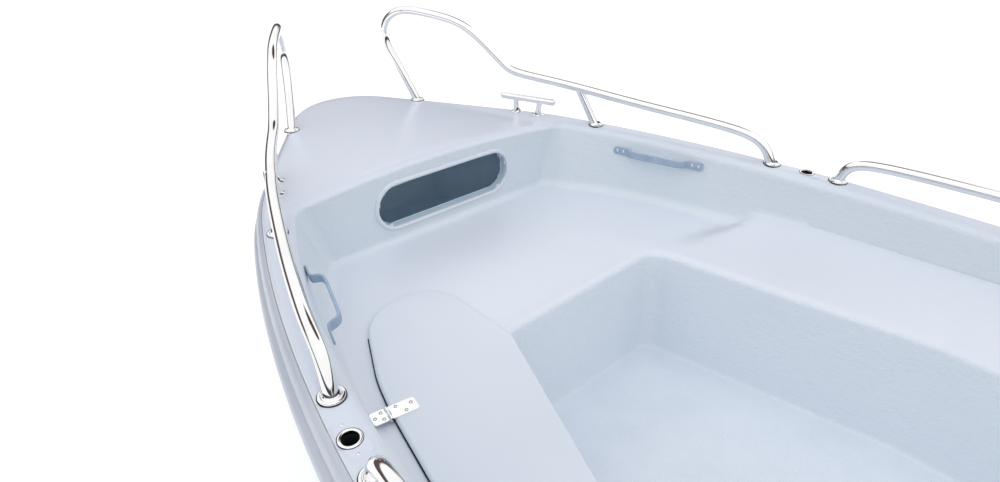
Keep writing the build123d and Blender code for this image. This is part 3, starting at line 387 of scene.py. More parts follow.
def well_row(corners, grow, height):
    """Half a row of the footwell, its outline grown outward and its corners round. The marks are
    the running lengths between which each set of columns is spread."""
    outward = np.array([[1, 0], [1, 1], [0, 1.02], [0, 1], [-1, 1], [-1, 0]])
    grown = np.array(corners) + grow * outward
    line = rounded(grown, well_radius)
    run = measured(line)
    front = run[np.argmax(line[:, 1] > grown[1, 1] - well_radius * 0.9)] * 0.98
    aft, middle = run[-1] - abs(grown[-1, 1] - grown[-2, 1]), run[-1] - 0.22
    marks = (0.0, front, front + well_radius * 1.5, aft - well_radius, aft + well_radius, middle)
    parts = [along(line, a, b, n) for a, b, n in zip(marks[:-1], marks[1:], columns[:5])]
    before, last = parts[-1][-2:]
    parts.append(np.linspace(last + 0.5 * (last - before), (grown[-1, 0], 0.0), columns[5]))
    return at_height(np.concatenate(parts), height)


def seat_rise(x, y, corners):
    """The starboard bench over the level bench: flat beside the footwell, then climbing evenly to
    seat_height at the boat's side. Its front is eased in by the cubic 3 t^2 - 2 t^3."""
    seat_height, seat_y, level_strip, seat_aft_x = 0.048, 0.69, 0.016, -0.3
    front_x, front_slope, front_y, ease_run = 0.905, 0.291, 0.343, 0.05
    outline = np.array(corners)[1:-1]
    inner = np.interp(-x, -outline[:, 0], outline[:, 1]) + level_strip
    rise = seat_height * np.clip((y - inner) / (seat_y - inner), 0, None)
    front = front_x - front_slope * np.clip(y - front_y, 0, None)
    ease = np.clip((front - x) / ease_run, 0, 1)
    return rise * ease * ease * (3 - 2 * ease) * (x > seat_aft_x)


def moulding_half(corners, bench_rise):
    """All rows of one side of the moulding, from the deck's edge to the middle of the sole: each
    bend is a curve of insets and heights, and level or sloping parts are blends between them."""
    flare_x, rim_flare, foot_flare = 1.15, 0.012, 0.035
    rim_reach, cove, lip, crease = 0.026, 0.034, 0.022, 0.012
    wall_in, wall_down, draft = 0.158, 0.987, math.tan(math.radians(6.0))
    depth = deck_height(edge[:, 0]) - bench_z
    near = np.clip((edge[:, 0] - flare_x) / (bulkhead_x - flare_x), 0, 1) ** 2
    rim_inset = gunwale_width + rim_flare * near
    foot = gunwale_width + wall_slope * depth + foot_flare * near

    rows = [on_deck(deck_row(0.0, transom_station(stern_deck_z - 0.01)), 0.020)]
    for a, b in bend((0.0, edge_round), (0.0, 0.0), (edge_round, 0.0), 6):
        rows.append(on_deck(deck_row(a, transom_station(stern_deck_z) + a), b))
    edge_rows, rim_rows = len(rows), []
    for a, b in bend((-rim_reach, 0.0), (0.0, 0.0), (rim_reach * wall_in, rim_reach * wall_down), 8):
        over = max(0.0, -a)
        plan = cockpit_row(rim_inset + a, bulkhead_x + over, cockpit_aft_x - over, 0.05)
        rim_rows.append(on_deck(plan, b))
    rows += list(blend(rows[-1], rim_rows[0], np.linspace(0, 1, 15)[1:-1]))
    for row in rows[edge_rows:]:
        row[:, 2] = on_deck(row[:, :2], 0.0)[:, 2]
    rows += rim_rows

    cove_rows = []
    for a, b in bend((-wall_in * cove, wall_down * cove), (0.0, 0.0), (cove, 0.0), 9):
        over = max(a, 0.0)
        plan = cockpit_row(foot + a, bulkhead_x - over, cockpit_aft_x + over, 0.06)
        cove_rows.append(at_height(plan, bench_z + b))
    rows += list(blend(rows[-1], cove_rows[0], np.linspace(0, 1, 12)[1:-1])) + cove_rows

    # one row of the bench runs along the motor well's fore edge
    lip_line = bend((lip, 0.0), (0.0, 0.0), (-draft * lip, -lip), 7)
    lip_rows = [well_row(corners, a, bench_z + b) for a, b in lip_line]
    shares, cove_x, lip_x = np.linspace(0, 1, 13), cove_rows[-1][-1, 0], lip_rows[0][-1, 0]
    shares[4] = (cove_x - motor_well_x) / (cove_x - lip_x)
    rows += list(blend(rows[-1], lip_rows[0], shares[1:-1])) + lip_rows

    fall = bench_z - sole_z
    foot_in = -draft * fall
    crease_line = bend((-draft * (fall - crease), crease), (foot_in, 0.0), (foot_in - crease, 0.0), 5)
    crease_rows = [well_row(corners, a, sole_z + b) for a, b in crease_line]
    rows += list(blend(rows[-1], crease_rows[0], np.linspace(0, 1, 8)[1:-1])) + crease_rows
    keel_line = crease_rows[-1].copy()
    keel_line[:, 0] = np.clip(keel_line[:, 0], -1.1, 0.55)
    keel_line[:, 1] = 0.0
    rows += list(blend(rows[-1], keel_line, np.linspace(0, 1, 12)[1:]))

    half = np.array(rows)
    if bench_rise:
        above_bench = half[..., 2] - bench_z
        low = (above_bench > -0.003) & (above_bench < 0.10)
        fade = np.clip(1 - above_bench / 0.06, 0, 1)
        half[..., 2] += np.where(low, seat_rise(half[..., 0], half[..., 1], corners) * fade, 0.0)
    return half


port_half = moulding_half(well_port, False)
starboard_half = moulding_half(well_starboard, True) * mirrored
moulding_grid = np.concatenate([port_half, starboard_half[:, ::-1]], axis=1)[:, ::-1]

# the port bench lid's outline, clockwise, with a radius for each of its corners
lid_corners = [
    (0.390, 0.575), (0.390, 0.698), (0.645, 0.661), (0.846, 0.621), (0.950, 0.592),
    (1.184, 0.488), (1.184, 0.259), (0.865, 0.259), (0.390, 0.452), (0.390, 0.575),
]
lid_line = rounded(lid_corners, (0.03, 0.9, 0.9, 0.5, 0.15, 0.11, 0.09, 0.03))
hatch_x, hatch_half_x, hatch_half_y = -1.645, 0.150, 0.410
opening_z, opening_half_y, opening_radius = 0.530, 0.250, 0.0625
oarlock_x, oarlock_y = 0.668, 0.789


def in_stadium(y, z, grow):
    """Inside the bow locker's opening, grown by a margin: nearer than the grown radius to the
    straight line between its round ends' centres."""
    beyond = np.clip(np.abs(y) - (opening_half_y - opening_radius), 0, None)
    return beyond**2 + (z - opening_z) ** 2 < (opening_radius + grow) ** 2


def drawn_in(outline, inset):
    """A closed line that runs clockwise, moved inward square to its own run."""
    run = np.roll(outline[:-1], -1, axis=0) - np.roll(outline[:-1], 1, axis=0)
    run /= np.linalg.norm(run, axis=1, keepdims=True)
    moved = outline[:-1] + inset * np.stack([run[:, 1], -run[:, 0]], axis=1)
    return np.vstack([moved, moved[:1]])


def enclosed(x, y, outline):
    """Inside a closed line: a ray from the point crosses the line an odd number of times."""
    odd = np.zeros(len(x), bool)
    for (x0, y0), (x1, y1) in zip(outline[:-1], outline[1:]):
        if y0 != y1:
            odd ^= ((y0 > y) != (y1 > y)) & (x < x0 + (y - y0) * (x1 - x0) / (y1 - y0))
    return odd


bench_mouth = drawn_in(lid_line, 0.035)


def moulding_gaps(middle):
    """Where the moulding is open: the bulkhead's opening, the lockers, the motor well and the
    oarlock sockets. A lid, a lip or a lining covers each cut edge."""
    x, y, z = middle.T
    mouth = (x > bulkhead_x - 0.005) & (z < 0.61) & in_stadium(y, z, 0.008)
    on_bench = np.abs(z - bench_z) < 0.004
    hatch_mouth = (np.abs(x - hatch_x) < hatch_half_x - 0.03) & (np.abs(y) < hatch_half_y - 0.03)
    lid_mouth = (y > 0.2) & enclosed(x, y, bench_mouth)
    well = (x < motor_well_x) & (np.abs(y) < well_half_y) & (z > bench_z - 0.01)
    bores = (z > 0.59) & (np.abs(x - oarlock_x) < 0.0275) & (np.abs(np.abs(y) - oarlock_y) < 0.018)
    return mouth | (on_bench & (lid_mouth | hatch_mouth)) | well | bores


cockpit_gelcoat, shader, place = finish("cockpit_gelcoat", Coat_Weight=0.25, Coat_Roughness=0.18, IOR=1.5)
grain_and_wall_light = shader.node("ShaderNodeAttribute", {"attribute_name": "grain_and_wall_light"}, {}, 2)
grit = shader.node("ShaderNodeAttribute", {"attribute_name": "grit"}, {}, 2)
cells = {"Vector": place, "Scale": 260.0}
fleck = shader.node("ShaderNodeTexVoronoi", {}, cells)
fleck_hue = shader.node("ShaderNodeTexVoronoi", {}, cells, "Color")
fleck_shade = shader.node("ShaderNodeSeparateColor", {}, {"Color": fleck_hue})
flecks = grit * (1 - fleck.step(0.18, 0.34)) * fleck_shade.step(0.80, 0.84)
dark_flecks = grit * (1 - fleck.step(0.12, 0.24)) * (1 - fleck_shade.step(0.05, 0.08))
cloud = shader.noise(place, 2.1, 3.0).step(0.3, 0.7)
# painted shade: from 0.44 to 0.60 m up, on the deck and gunwales, the level gelcoat turns darker than on
# the benches
raised = shader.node("ShaderNodeSeparateXYZ", {}, {0: place}, 2).step(0.44, 0.60)
level_tone_with_painted_shade = raised.mix(
    cloud.mix(colour(213, 220, 232), colour(217, 223, 235)),
    cloud.mix(colour(206, 214, 229), colour(209, 216, 230)),
)
# painted light: the upright walls get a lighter shade of the same gelcoat
wall_tone_with_painted_light = cloud.mix(colour(216, 225, 234), colour(219, 227, 236))
sole_tone = shader.clouded(place, 6.0, 4.0, (212, 221, 234), (218, 226, 237))
tone = grit.mix(grain_and_wall_light.mix(level_tone_with_painted_shade, wall_tone_with_painted_light), sole_tone)
tone = flecks.mix(tone, colour(240, 244, 250))
hammered = shader.noise(place, 75.0, 3.0, 0.55) + 0.5 * shader.noise(place, 150.0, 2.0)
gritty = 0.8 * grit * shader.noise(place, 320.0, 2.0) + 0.6 * flecks
shader.feed(
    Base_Color=dark_flecks.mix(tone, colour(168, 178, 190)),
    Roughness=0.30 + 0.15 * grit + 0.10 * shader.noise(place, 12.0, 3.0),
    Normal=shader.bump(0.55, 0.0030, hammered * (0.10 + 0.9 * grain_and_wall_light) + gritty),
)
moulding = sheet(
    "deck_skin", [moulding_grid], cockpit_gelcoat, "boat", sharp=50.0, left_open=moulding_gaps
)
skin = moulding.data
normals, places = np.empty(len(skin.vertices) * 3), np.empty(len(skin.vertices) * 3)
skin.vertex_normals.foreach_get("vector", normals)
skin.vertices.foreach_get("co", places)
# the upright faces' share sets both the hammered grain's bump and the walls' painted lighter tone
upright = np.clip((1.02 - np.abs(normals[2::3])) / 0.5, 0, 1)
on_sole = np.clip((sole_z + 0.012 - places[2::3]) / 0.01, 0, 1)
for name, values in (("grain_and_wall_light", upright), ("grit", on_sole)):
    skin.attributes.new(name, "FLOAT", "POINT").data.foreach_set("value", values.astype(np.float32))
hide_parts("deck_moulding")


# Locker linings: the bow locker, the port bench's locker, the stern bench's locker and the motor
# well, each a separate tray of laminate bonded to the moulding's edges. The lockers are roughly painted
# inside, and the motor well is smooth gelcoat.
def tray(outline, bottom, centre):
    """A tray: a narrow lap on the bench round its outline, walls down from it and a floor."""
    top = bench_z + 0.0006
    levels = ((-0.03, top), (0.0, top), (0.004, top - 0.004), (0.005, top - 0.02))
    levels += ((0.005, bottom + 0.01), (0.015, bottom))
    away = outline - centre
    away /= np.linalg.norm(away, axis=1, keepdims=True)
    rows = [at_height(outline - away * inset, height) for inset, height in levels]
    return np.array(rows + [at_height(np.broadcast_to(centre, outline.shape), bottom)])


def symmetric_outline(first_x, first_y, second_x, second_y, radius):
    """A closed outline with round corners about the middle line: two cross sides, each given by
    its station and its half-breadth, from the middle of the first one round."""
    return rounded([
        (first_x, 0.0), (first_x, first_y), (second_x, second_y), (second_x, -second_y),
        (first_x, -first_y), (first_x, 0.0),
    ], radius)


def hatch_outline(inset, radius):
    """The stern hatch's outline, drawn in."""
    half_x, half_y = hatch_half_x - inset, hatch_half_y - inset
    return symmetric_outline(hatch_x - half_x, half_y, hatch_x + half_x, half_y, radius)


def standing(profile, y):
    """A line of stations and heights at a distance from the middle line."""
    return np.column_stack([profile[:, 0], np.full(len(profile), y), profile[:, 1]])


locker_paint, shader, place = finish("locker_paint", Roughness=0.6)
shader.feed(
    Base_Color=shader.clouded(place, 14.0, 5.0, (194, 216, 233), (202, 221, 236)),
    Normal=shader.bump(0.5, 0.003, shader.noise(place, 60.0, 4.0)),
)
bench_tray = tray(drawn_in(lid_line, 0.04), 0.19, (0.86, 0.46))
stern_tray = tray(hatch_outline(0.045, 0.03), 0.09, (hatch_x, 0.0))
sheet("locker_trays", [bench_tray, stern_tray], locker_paint, "boat")

bow_aft_x, bow_floor_z, bow_roof_z = 1.491, 0.30, 0.62
bow_outline = symmetric_outline(bow_aft_x, 0.39, 1.86, 0.20, 0.03)
bow_middle = bow_outline * 0.001 + (1.68, 0.0)
bow_rows = [at_height(bow_middle, bow_floor_z), at_height(bow_outline, bow_floor_z)]
bow_rows += [at_height(bow_outline, z) for z in np.linspace(0.44, bow_roof_z, 24)]
bow_rows += [at_height(bow_middle, bow_roof_z)]
sheet(
    "bow_locker_lining", [np.array([respaced(row, 160) for row in bow_rows])[:, ::-1]],
    locker_paint, "boat", sharp=40.0,
    left_open=lambda middle: (middle[:, 0] < 1.495) & in_stadium(middle[:, 1], middle[:, 2], 0.006),
)

well_floor_z, well_aft_x, gunwale_x, count = 0.285, -2.205, -2.060, 60
gunwale_z, stern_z = deck_height(gunwale_x), deck_height(-2.27)
stern_x = transom_station(stern_deck_z)
well_profile = [
    (motor_well_x, bench_z), (motor_well_x, well_floor_z), (well_aft_x, well_floor_z),
    (well_aft_x, sill_z), (transom_x, sill_z),
]
well_profile = respaced(rounded(well_profile, 0.02), count)
well_top = respaced(np.array([
    (motor_well_x, bench_z), (-2.029, bench_z), (-2.050, bench_z + 0.010), (gunwale_x, bench_z + 0.030),
    (gunwale_x, gunwale_z - 0.015), (-2.064, gunwale_z - 0.004), (-2.075, deck_height(-2.075)),
    (stern_x + edge_round, stern_z), (stern_x, stern_z - edge_round),
]), count)
well_floor = np.array([standing(well_profile, y) for y in np.linspace(-well_half_y, well_half_y, 9)])
side_foot, side_top = standing(well_profile, well_half_y), standing(well_top, well_half_y)
well_side = blend(side_foot, side_top, np.linspace(0, 1, 5))
sheet(
    "motor_well_lining", [well_floor[:, ::-1], well_side[:, ::-1], well_side * mirrored],
    smooth_gelcoat, "boat",
)


# Locker frame: a moulded lip of the same laminate, bonded on, that trims the raw edge of the
# bulkhead's opening. The edge behind it is painted like the locker.
def round_opening(profile):
    """A profile of growths and stations carried round the opening as closed lines."""
    turn = np.linspace(-np.pi / 2, np.pi / 2, 48)
    rows = []
    for grow, station in profile:
        radius = opening_radius + grow
        y = opening_half_y - opening_radius + radius * np.cos(turn)
        end = np.column_stack([y, opening_z + radius * np.sin(turn)])
        line = np.vstack([end, end[::-1] * (-1, 1), end[:1]])
        rows.append(np.column_stack([np.full(len(line), bulkhead_x + station), line]))
    return np.array(rows)


lip_inner, lip_outer, lip_aft = 0.0062, 0.0205, -0.008
lip = np.vstack([
    [(lip_inner, 0.006)],
    bend((lip_inner, 0.0), (lip_inner, lip_aft), (0.012, lip_aft), 8),
    bend((0.0125, lip_aft), (lip_outer, lip_aft), (lip_outer, 0.0), 8),
    [(lip_outer, 0.003)],
])
locker_frame = sheet("locker_lip", [round_opening(lip)], smooth_gelcoat, "boat", sharp=60.0)
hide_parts("locker_frame")
reveal = [(lip_inner, 0.027), (lip_inner, 0.0062)]
sheet("locker_reveal", [round_opening(reveal)], locker_paint, "boat")


# Rub strake: part of the deck moulding's turned-down edge, with a soft shoulder and two ribs
# with a groove between, where the boat lies against a quay.
def strake_row(out, down):
    """A line round the port side, so far out from the deck's edge and so far below it. Its points
    stand close round the bow and further apart down the side, and it ends on the transom."""
    bow_run, strake_end_x = 0.5, -2.29
    line = edge - inward * out
    line = line[:np.searchsorted(-line[:, 0], -strake_end_x)]
    run = measured(line)
    places = np.concatenate([np.linspace(0, bow_run, 60), np.linspace(bow_run, run[-1], 200)[1:]])
    plan = np.stack([np.interp(places, run, line[:, k]) for k in (0, 1)], axis=1)
    row = at_height(plan, deck_height(plan[:, 0]) - down)
    row[:, 0] = np.maximum(row[:, 0], transom_station(row[:, 2]))
    return row


def wave(points, count):
    """A smooth line led by its points: each stretch is a cubic blend of the four points about it."""
    points = np.asarray(points, float)
    led = np.concatenate([points[:1]] * 2 + [points] + [points[-1:]] * 2)
    place = np.linspace(0, len(led) - 3 - 1e-9, count)
    index = place.astype(int)
    t = (place - index)[:, None]
    share = np.hstack([(1 - t) ** 3, 3 * t**3 - 6 * t**2 + 4, -3 * t**3 + 3 * t**2 + 3 * t + 1, t**3]) / 6
    return sum(share[:, k:k + 1] * led[index + k] for k in range(4))


strake_profile = wave([
    (0.0003, 0.010), (0.006, 0.012), (0.013, 0.018), (0.018, 0.030), (0.0185, 0.042), (0.015, 0.050),
    (0.0145, 0.054), (0.018, 0.058), (0.029, 0.063), (0.0325, 0.073), (0.0325, 0.088), (0.029, 0.098),
    (0.018, 0.106), (0.0, 0.107),
], 46)
strake_grid = np.array([strake_row(out, down) for out, down in strake_profile])
strake_gelcoat, shader, place = finish("strake_gelcoat", Coat_Weight=0.3, Coat_Roughness=0.15, IOR=1.5)
shader.feed(
    Base_Color=shader.clouded(place, 3.0, 4.0, (180, 188, 201), (188, 195, 207)),
    Roughness=0.34 + 0.1 * shader.noise(place, 14.0, 3.0),
)
stern_line = strake_grid[:, -1]
end_cap = np.stack([stern_line, np.broadcast_to(stern_line.mean(axis=0), stern_line.shape)], axis=1)
strake = sheet(
    "strake_skin",
    [strake_grid, (strake_grid * mirrored)[:, ::-1], end_cap, (end_cap * mirrored)[:, ::-1]],
    strake_gelcoat, "boat", sharp=60.0,
)
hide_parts("rub_strake")


# Bow and side rails: polished stainless tube bent on a former, with short posts welded under it,
# and round flanges with a raised collar at their feet, bedded on black sealant. Its black ring round each
# flange is also painted shade for the joint's contact shadow.
def tube(points, radius, around=24):
    """A round tube along a line: circles square to it, whose spokes turn with it as little as
    they can. The radius may change along the line."""
    ahead = np.gradient(points, axis=0)
    ahead /= np.linalg.norm(ahead, axis=1, keepdims=True)
    spoke = np.cross(ahead[0], (0.3, 0.9, 0.2))
    spokes = []
    for direction in ahead:
        spoke = spoke - direction * (spoke @ direction)
        spoke /= np.linalg.norm(spoke)
        spokes.append(spoke)
    spokes = np.array(spokes)
    other = np.cross(ahead, spokes)
    turn = np.linspace(0, 2 * np.pi, around + 1)[:, None, None]
    return points + np.reshape(radius, (-1, 1)) * (np.cos(turn) * spokes - np.sin(turn) * other)


def turned(profile, centre, axis, around=36):
    """A turned piece: a profile of radius and height carried round an axis."""
    axis = np.asarray(axis, float) / np.linalg.norm(axis)
    first = np.cross(axis, (0.31, 0.94, 0.12))
    first /= np.linalg.norm(first)
    second = np.cross(axis, first)
    turn = np.linspace(0, 2 * np.pi, around + 1)[None, :, None]
    profile = np.asarray(profile, float)[:, :, None, None]
    spoke = np.cos(turn) * first + np.sin(turn) * second
    return np.asarray(centre) + profile[:, 0] * spoke + profile[:, 1] * axis


deck_up = np.array([-deck_slope, 0.0, 1.0]) / math.hypot(1, deck_slope)


def flange(x, y):
    """A flange with a raised collar round its tube."""
    profile = [
        (0.0250, 0.0), (0.0250, 0.003), (0.0240, 0.0048), (0.0215, 0.0056), (0.0200, 0.0056),
        (0.0190, 0.0072), (0.0180, 0.0078), (0.0165, 0.0076), (0.0148, 0.0100),
    ]
    return turned(profile, deck_point(x, y), deck_up, 48)


def on_side(grids, sign):
    """Port grids as they are, or for starboard mirrored, with their columns turned round."""
    return [grid if sign > 0 else (grid * mirrored)[:, ::-1] for grid in grids]


stainless, shader, place = finish("polished_stainless", Metallic=1.0, IOR=2.5)
smears = shader.noise(place, 7.0, 4.0)
shader.feed(
    Base_Color=smears.step(0.3, 0.7).mix(colour(236, 236, 236), colour(246, 246, 247)),
    Roughness=0.03 + 0.05 * smears,
    Normal=shader.bump(0.05, 0.001, shader.noise(place, 25.0, 3.0)),
)
bow_rail_line = np.array([
    (0, 0.265, -0.02), (0, 0.265, 0), (0.025, 0.247, 0.061), (0.066, 0.221, 0.155),
    (0.096, 0.207, 0.203), (0.104, 0.204, 0.253), (0.097, 0.212, 0.296), (0.055, 0.228, 0.330),
    (0.004, 0.247, 0.3425), (-0.05, 0.280, 0.335), (-0.137, 0.330, 0.319), (-0.191, 0.357, 0.299),
    (-0.228, 0.380, 0.271), (-0.272, 0.405, 0.227), (-0.309, 0.428, 0.185), (-0.333, 0.444, 0.156),
    (-0.365, 0.462, 0.141), (-0.416, 0.491, 0.131), (-0.501, 0.534, 0.119), (-0.581, 0.568, 0.108),
    (-0.661, 0.602, 0.095), (-0.803, 0.651, 0.077), (-0.938, 0.695, 0.064), (-1.069, 0.732, 0.051),
    (-1.134, 0.747, 0.042), (-1.185, 0.755, 0.026), (-1.210, 0.761, -0.003), (-1.228, 0.766, -0.040),
    (-1.231, 0.767, -0.060),
]) + (2.0, 0.0, 0.65)
side_rail_line = np.array([
    (0.580, 0.798, 0.585), (0.576, 0.799, 0.620), (0.560, 0.801, 0.655), (0.520, 0.805, 0.674),
    (0.400, 0.815, 0.677), (0.200, 0.829, 0.675), (0.000, 0.836, 0.669), (-0.200, 0.840, 0.661),
    (-0.400, 0.841, 0.653), (-0.560, 0.840, 0.645), (-0.625, 0.839, 0.634), (-0.650, 0.838, 0.612),
    (-0.660, 0.838, 0.580), (-0.661, 0.838, 0.550),
])
bow_rail_feet = [(2.0, 0.265), (1.359, 0.602), (0.770, 0.767)]
side_rail_feet = [(0.578, 0.798), (-0.04, 0.838), (-0.660, 0.838)]
bow_rail_post = [(1.359, 0.602, 0.620), (1.430, 0.570, 0.764)]
side_rail_post = [(-0.04, 0.838, 0.58), (-0.04, 0.838, 0.668)]
for name, line, post, feet in (
    ("bow_rail", bow_rail_line, bow_rail_post, bow_rail_feet),
    ("side_rail", side_rail_line, side_rail_post, side_rail_feet),
):
    grids = [tube(wave(line, 260), 0.0150), tube(np.linspace(*post, 8), 0.0135)]
    grids += [flange(x, y) for x, y in feet]
    for side, sign in sides:
        tubes = on_side(grids, sign)
        rail = sheet(f"{name}_tube_{side}", tubes, stainless, "boat", sharp=40.0)
        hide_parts(f"{name}_{side}")


# Cleats: cast in stainless steel and polished, a bar with rounded ends on two legs that spread
# into round feet. The bow pair shows in the photograph, and the stern pair is like it.
def cleat(fore, aft):
    """The grids of a cleat between its two feet. The bar's ends are round: its radius falls by
    the root of one less the square of the share of the end's length."""
    half_length, end_length, bar_radius, bar_height = 0.110, 0.0095, 0.0115, 0.056
    fore, aft = deck_point(*fore), deck_point(*aft)
    middle, run = (fore + aft) / 2, (fore - aft) / np.linalg.norm(fore - aft)
    ends = np.linspace(-half_length, half_length, 61)
    into_end = np.clip((np.abs(ends) - (half_length - end_length)) / end_length, 0, 1)
    thick = np.maximum(bar_radius * np.sqrt(1 - into_end**2), 1e-5)
    grids = [tube(middle + deck_up * bar_height + ends[:, None] * run, thick)]
    rise = np.linspace(0, 1, 14)
    leg_radius = 0.0105 + 0.0055 * (1 - rise) ** 3 + 0.001 * rise**4
    for foot, lean in ((fore, 0.006), (aft, -0.006)):
        grids.append(tube(foot + np.outer(rise, deck_up * bar_height + run * lean), leg_radius, 20))
        grids.append(turned([(0.022, 0.0), (0.022, 0.0025), (0.020, 0.004), (0.013, 0.005)], foot, deck_up))
    return grids


for name, fore, aft in (
    ("bow_cleat", (1.645, 0.477), (1.568, 0.512)),
    ("stern_cleat", (-1.960, 0.788), (-2.045, 0.784)),
):
    grids = cleat(fore, aft)
    for side, sign in sides:
        cast = on_side(grids, sign)
        piece = sheet(f"{name}_cast_{side}", cast, stainless, "boat", sharp=50.0)
        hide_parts(f"{name}_{side}")


# Grab handles: moulded in grey-blue plastic, an oval strap that bends up from a pad at each end
# and runs along the cockpit's wall. Each pad has two domed screws.
handle_plastic, shader, place = finish("handle_plastic", IOR=1.46)
shader.feed(
    Base_Color=shader.clouded(place, 30.0, 3.0, (152, 171, 195), (164, 182, 204)),
    Roughness=0.36 + 0.15 * shader.noise(place, 60.0, 3.0),
    Normal=shader.bump(0.15, 0.0006, shader.noise(place, 900.0, 2.0)),
)


def strap(path, out, half_height, half_thick):
    """A strap bent along a path, broad along its side and thin across. Its section is a rounded
    oblong: the cosine and the sine of a turn, each raised to a power below one."""
    ahead = np.gradient(path, axis=0)
    ahead /= np.linalg.norm(ahead, axis=1, keepdims=True)
    side = np.cross(ahead, out)
    side /= np.linalg.norm(side, axis=1, keepdims=True)
    face = np.cross(side, ahead)
    turn = np.linspace(0, 2 * np.pi, 41)[:, None, None]
    across, through = np.cos(turn), np.sin(turn)
    across, through = np.sign(across) * np.abs(across) ** 0.45, np.sign(through) * np.abs(through) ** 0.6
    return path + across * side * half_height[:, None] - through * face * half_thick[:, None]


def screw(place, axis, size):
    """A screw's domed head with a recess in its middle."""
    profile = [(1.0, 0.0), (0.97, 0.14), (0.75, 0.3), (0.38, 0.36), (0.34, 0.05), (0.0, 0.02)]
    return turned(np.array(profile) * size, place, axis, 18)


half_bend = [
    (0.1585, 0.003), (0.140, 0.003), (0.116, 0.003), (0.104, 0.005), (0.099, 0.014), (0.096, 0.024),
    (0.086, 0.032), (0.066, 0.0345), (0.03, 0.0345),
]
handle_bend = wave([(-run, out) for run, out in half_bend] + half_bend[::-1], 180)
handle_z = 0.566
handle_ends = []
for x in (1.262, 0.950):
    inset = gunwale_width + wall_slope * (deck_height(x) - handle_z)
    handle_ends.append(np.array([x, half_breadth(x) - inset, handle_z]))
fore_end, aft_end = handle_ends
handle_run = (fore_end - aft_end) / np.linalg.norm(fore_end - aft_end)
handle_out = np.cross(handle_run, (0.0, wall_slope, 1.0))
handle_out /= np.linalg.norm(handle_out)
handle_foot = (fore_end + aft_end) / 2 + handle_out * 0.006
handle_path = handle_foot + handle_bend[:, :1] * handle_run + handle_bend[:, 1:] * handle_out
reach = np.clip(handle_bend[:, 1] / 0.03, 0, 1)
into_end = np.clip((np.abs(handle_bend[:, 0]) - 0.1505) / 0.008, 0, 1)
end_round = np.sqrt(np.clip(1 - into_end**2, 0.0004, 1))
bar = strap(handle_path, handle_out, (0.0128 - 0.001 * reach) * end_round, 0.0024 + 0.0016 * reach)
pad_face = handle_foot + 0.0052 * handle_out
screws = [screw(pad_face + run * handle_run, handle_out, 0.0042) for run in (-0.144, -0.122, 0.122, 0.144)]
for side, sign in sides:
    bars = on_side([bar], sign)
    plastic = sheet(f"grab_handle_bar_{side}", bars, handle_plastic, "boat", sharp=60.0)
    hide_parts(f"grab_handle_{side}")
    sheet(f"grab_handle_screws_{side}", on_side(screws, sign), stainless, "boat")


# Lids of the port bench and the stern hatch: shallow trays of laminate with a rounded rim, laid
# up like the deck and a little duller. The bench lid lies on a black rubber seal, which also stands as
# painted shade for the dark gap along its edge.
def lid_grid(outline):
    """A lid: from its underside's middle out, up its side, over a round rim and in to its middle."""
    bottom, top, rim = bench_z + 0.0003, 0.4213, 0.008
    centre = np.broadcast_to(outline.mean(axis=0), outline.shape)
    levels = [(0.012, bottom), (0.001, bottom)]
    levels += [(inset, top - drop) for inset, drop in bend((0.0, rim), (0.0, 0.0), (rim, 0.0), 8)]
    rows = [at_height(centre, bottom)] + [at_height(drawn_in(outline, a), z) for a, z in levels]
    return np.array(rows + [at_height(row, top) for row in blend(outline, centre, (0.12, 0.3, 0.6, 1.0))])


lid_gelcoat, shader, place = finish("lid_gelcoat", Coat_Weight=0.3, Coat_Roughness=0.2, IOR=1.5)
shader.feed(
    Base_Color=shader.clouded(place, 2.4, 3.0, (209, 217, 229), (213, 220, 232)),
    Roughness=0.33 + 0.08 * shader.noise(place, 9.0, 3.0),
    Normal=shader.bump(0.06, 0.002, shader.noise(place, 22.0, 3.0)),
)
bench_lid = sheet(
    "port_bench_lid_skin", [lid_grid(lid_line)], lid_gelcoat, "bench_lid", sharp=60.0
)
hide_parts("port_bench_lid")
hatch_line = hatch_outline(0.0, 0.04)
hatch = sheet("stern_hatch_skin", [lid_grid(hatch_line)], lid_gelcoat, "stern_lid", sharp=60.0)
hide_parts("stern_hatch")

# the seal shows along the lid's outboard edge, and a ring of sealant round each rail's flange: both black,
# partly real rubber and sealant and partly painted shade for the dark of the gap and the joint
# one black for real rubber and sealant, and for painted shade in gaps and round screw heads
black_rubber_and_shade, shader, place = finish("black_rubber_and_shade", IOR=1.4)
shader.feed(
    Base_Color=shader.noise(place, 50.0, 3.0).mix(colour(22, 24, 27), colour(34, 37, 41)),
    Roughness=0.6 + 0.2 * shader.noise(place, 120.0, 2.0),
)
seal_and_gap_shade_line = at_height(drawn_in(lid_line, -0.0008), bench_z + 0.0035)
seal_and_gap_shade_end = int(np.argmin(np.abs(seal_and_gap_shade_line[:60, 0] - 1.06)))
gaskets_and_gap_shade = [tube(wave(seal_and_gap_shade_line[12:seal_and_gap_shade_end + 1], 200), 0.0019, 10)]
ring = [(0.0266, -0.001), (0.0266, 0.0016), (0.0245, 0.0018), (0.0245, -0.001)]
for x, y in bow_rail_feet + side_rail_feet:
    gaskets_and_gap_shade += [turned(ring, deck_point(x, sign * y), deck_up, 40) for sign in (1, -1)]
sheet("gaskets_and_gap_shade", gaskets_and_gap_shade, black_rubber_and_shade, "boat")


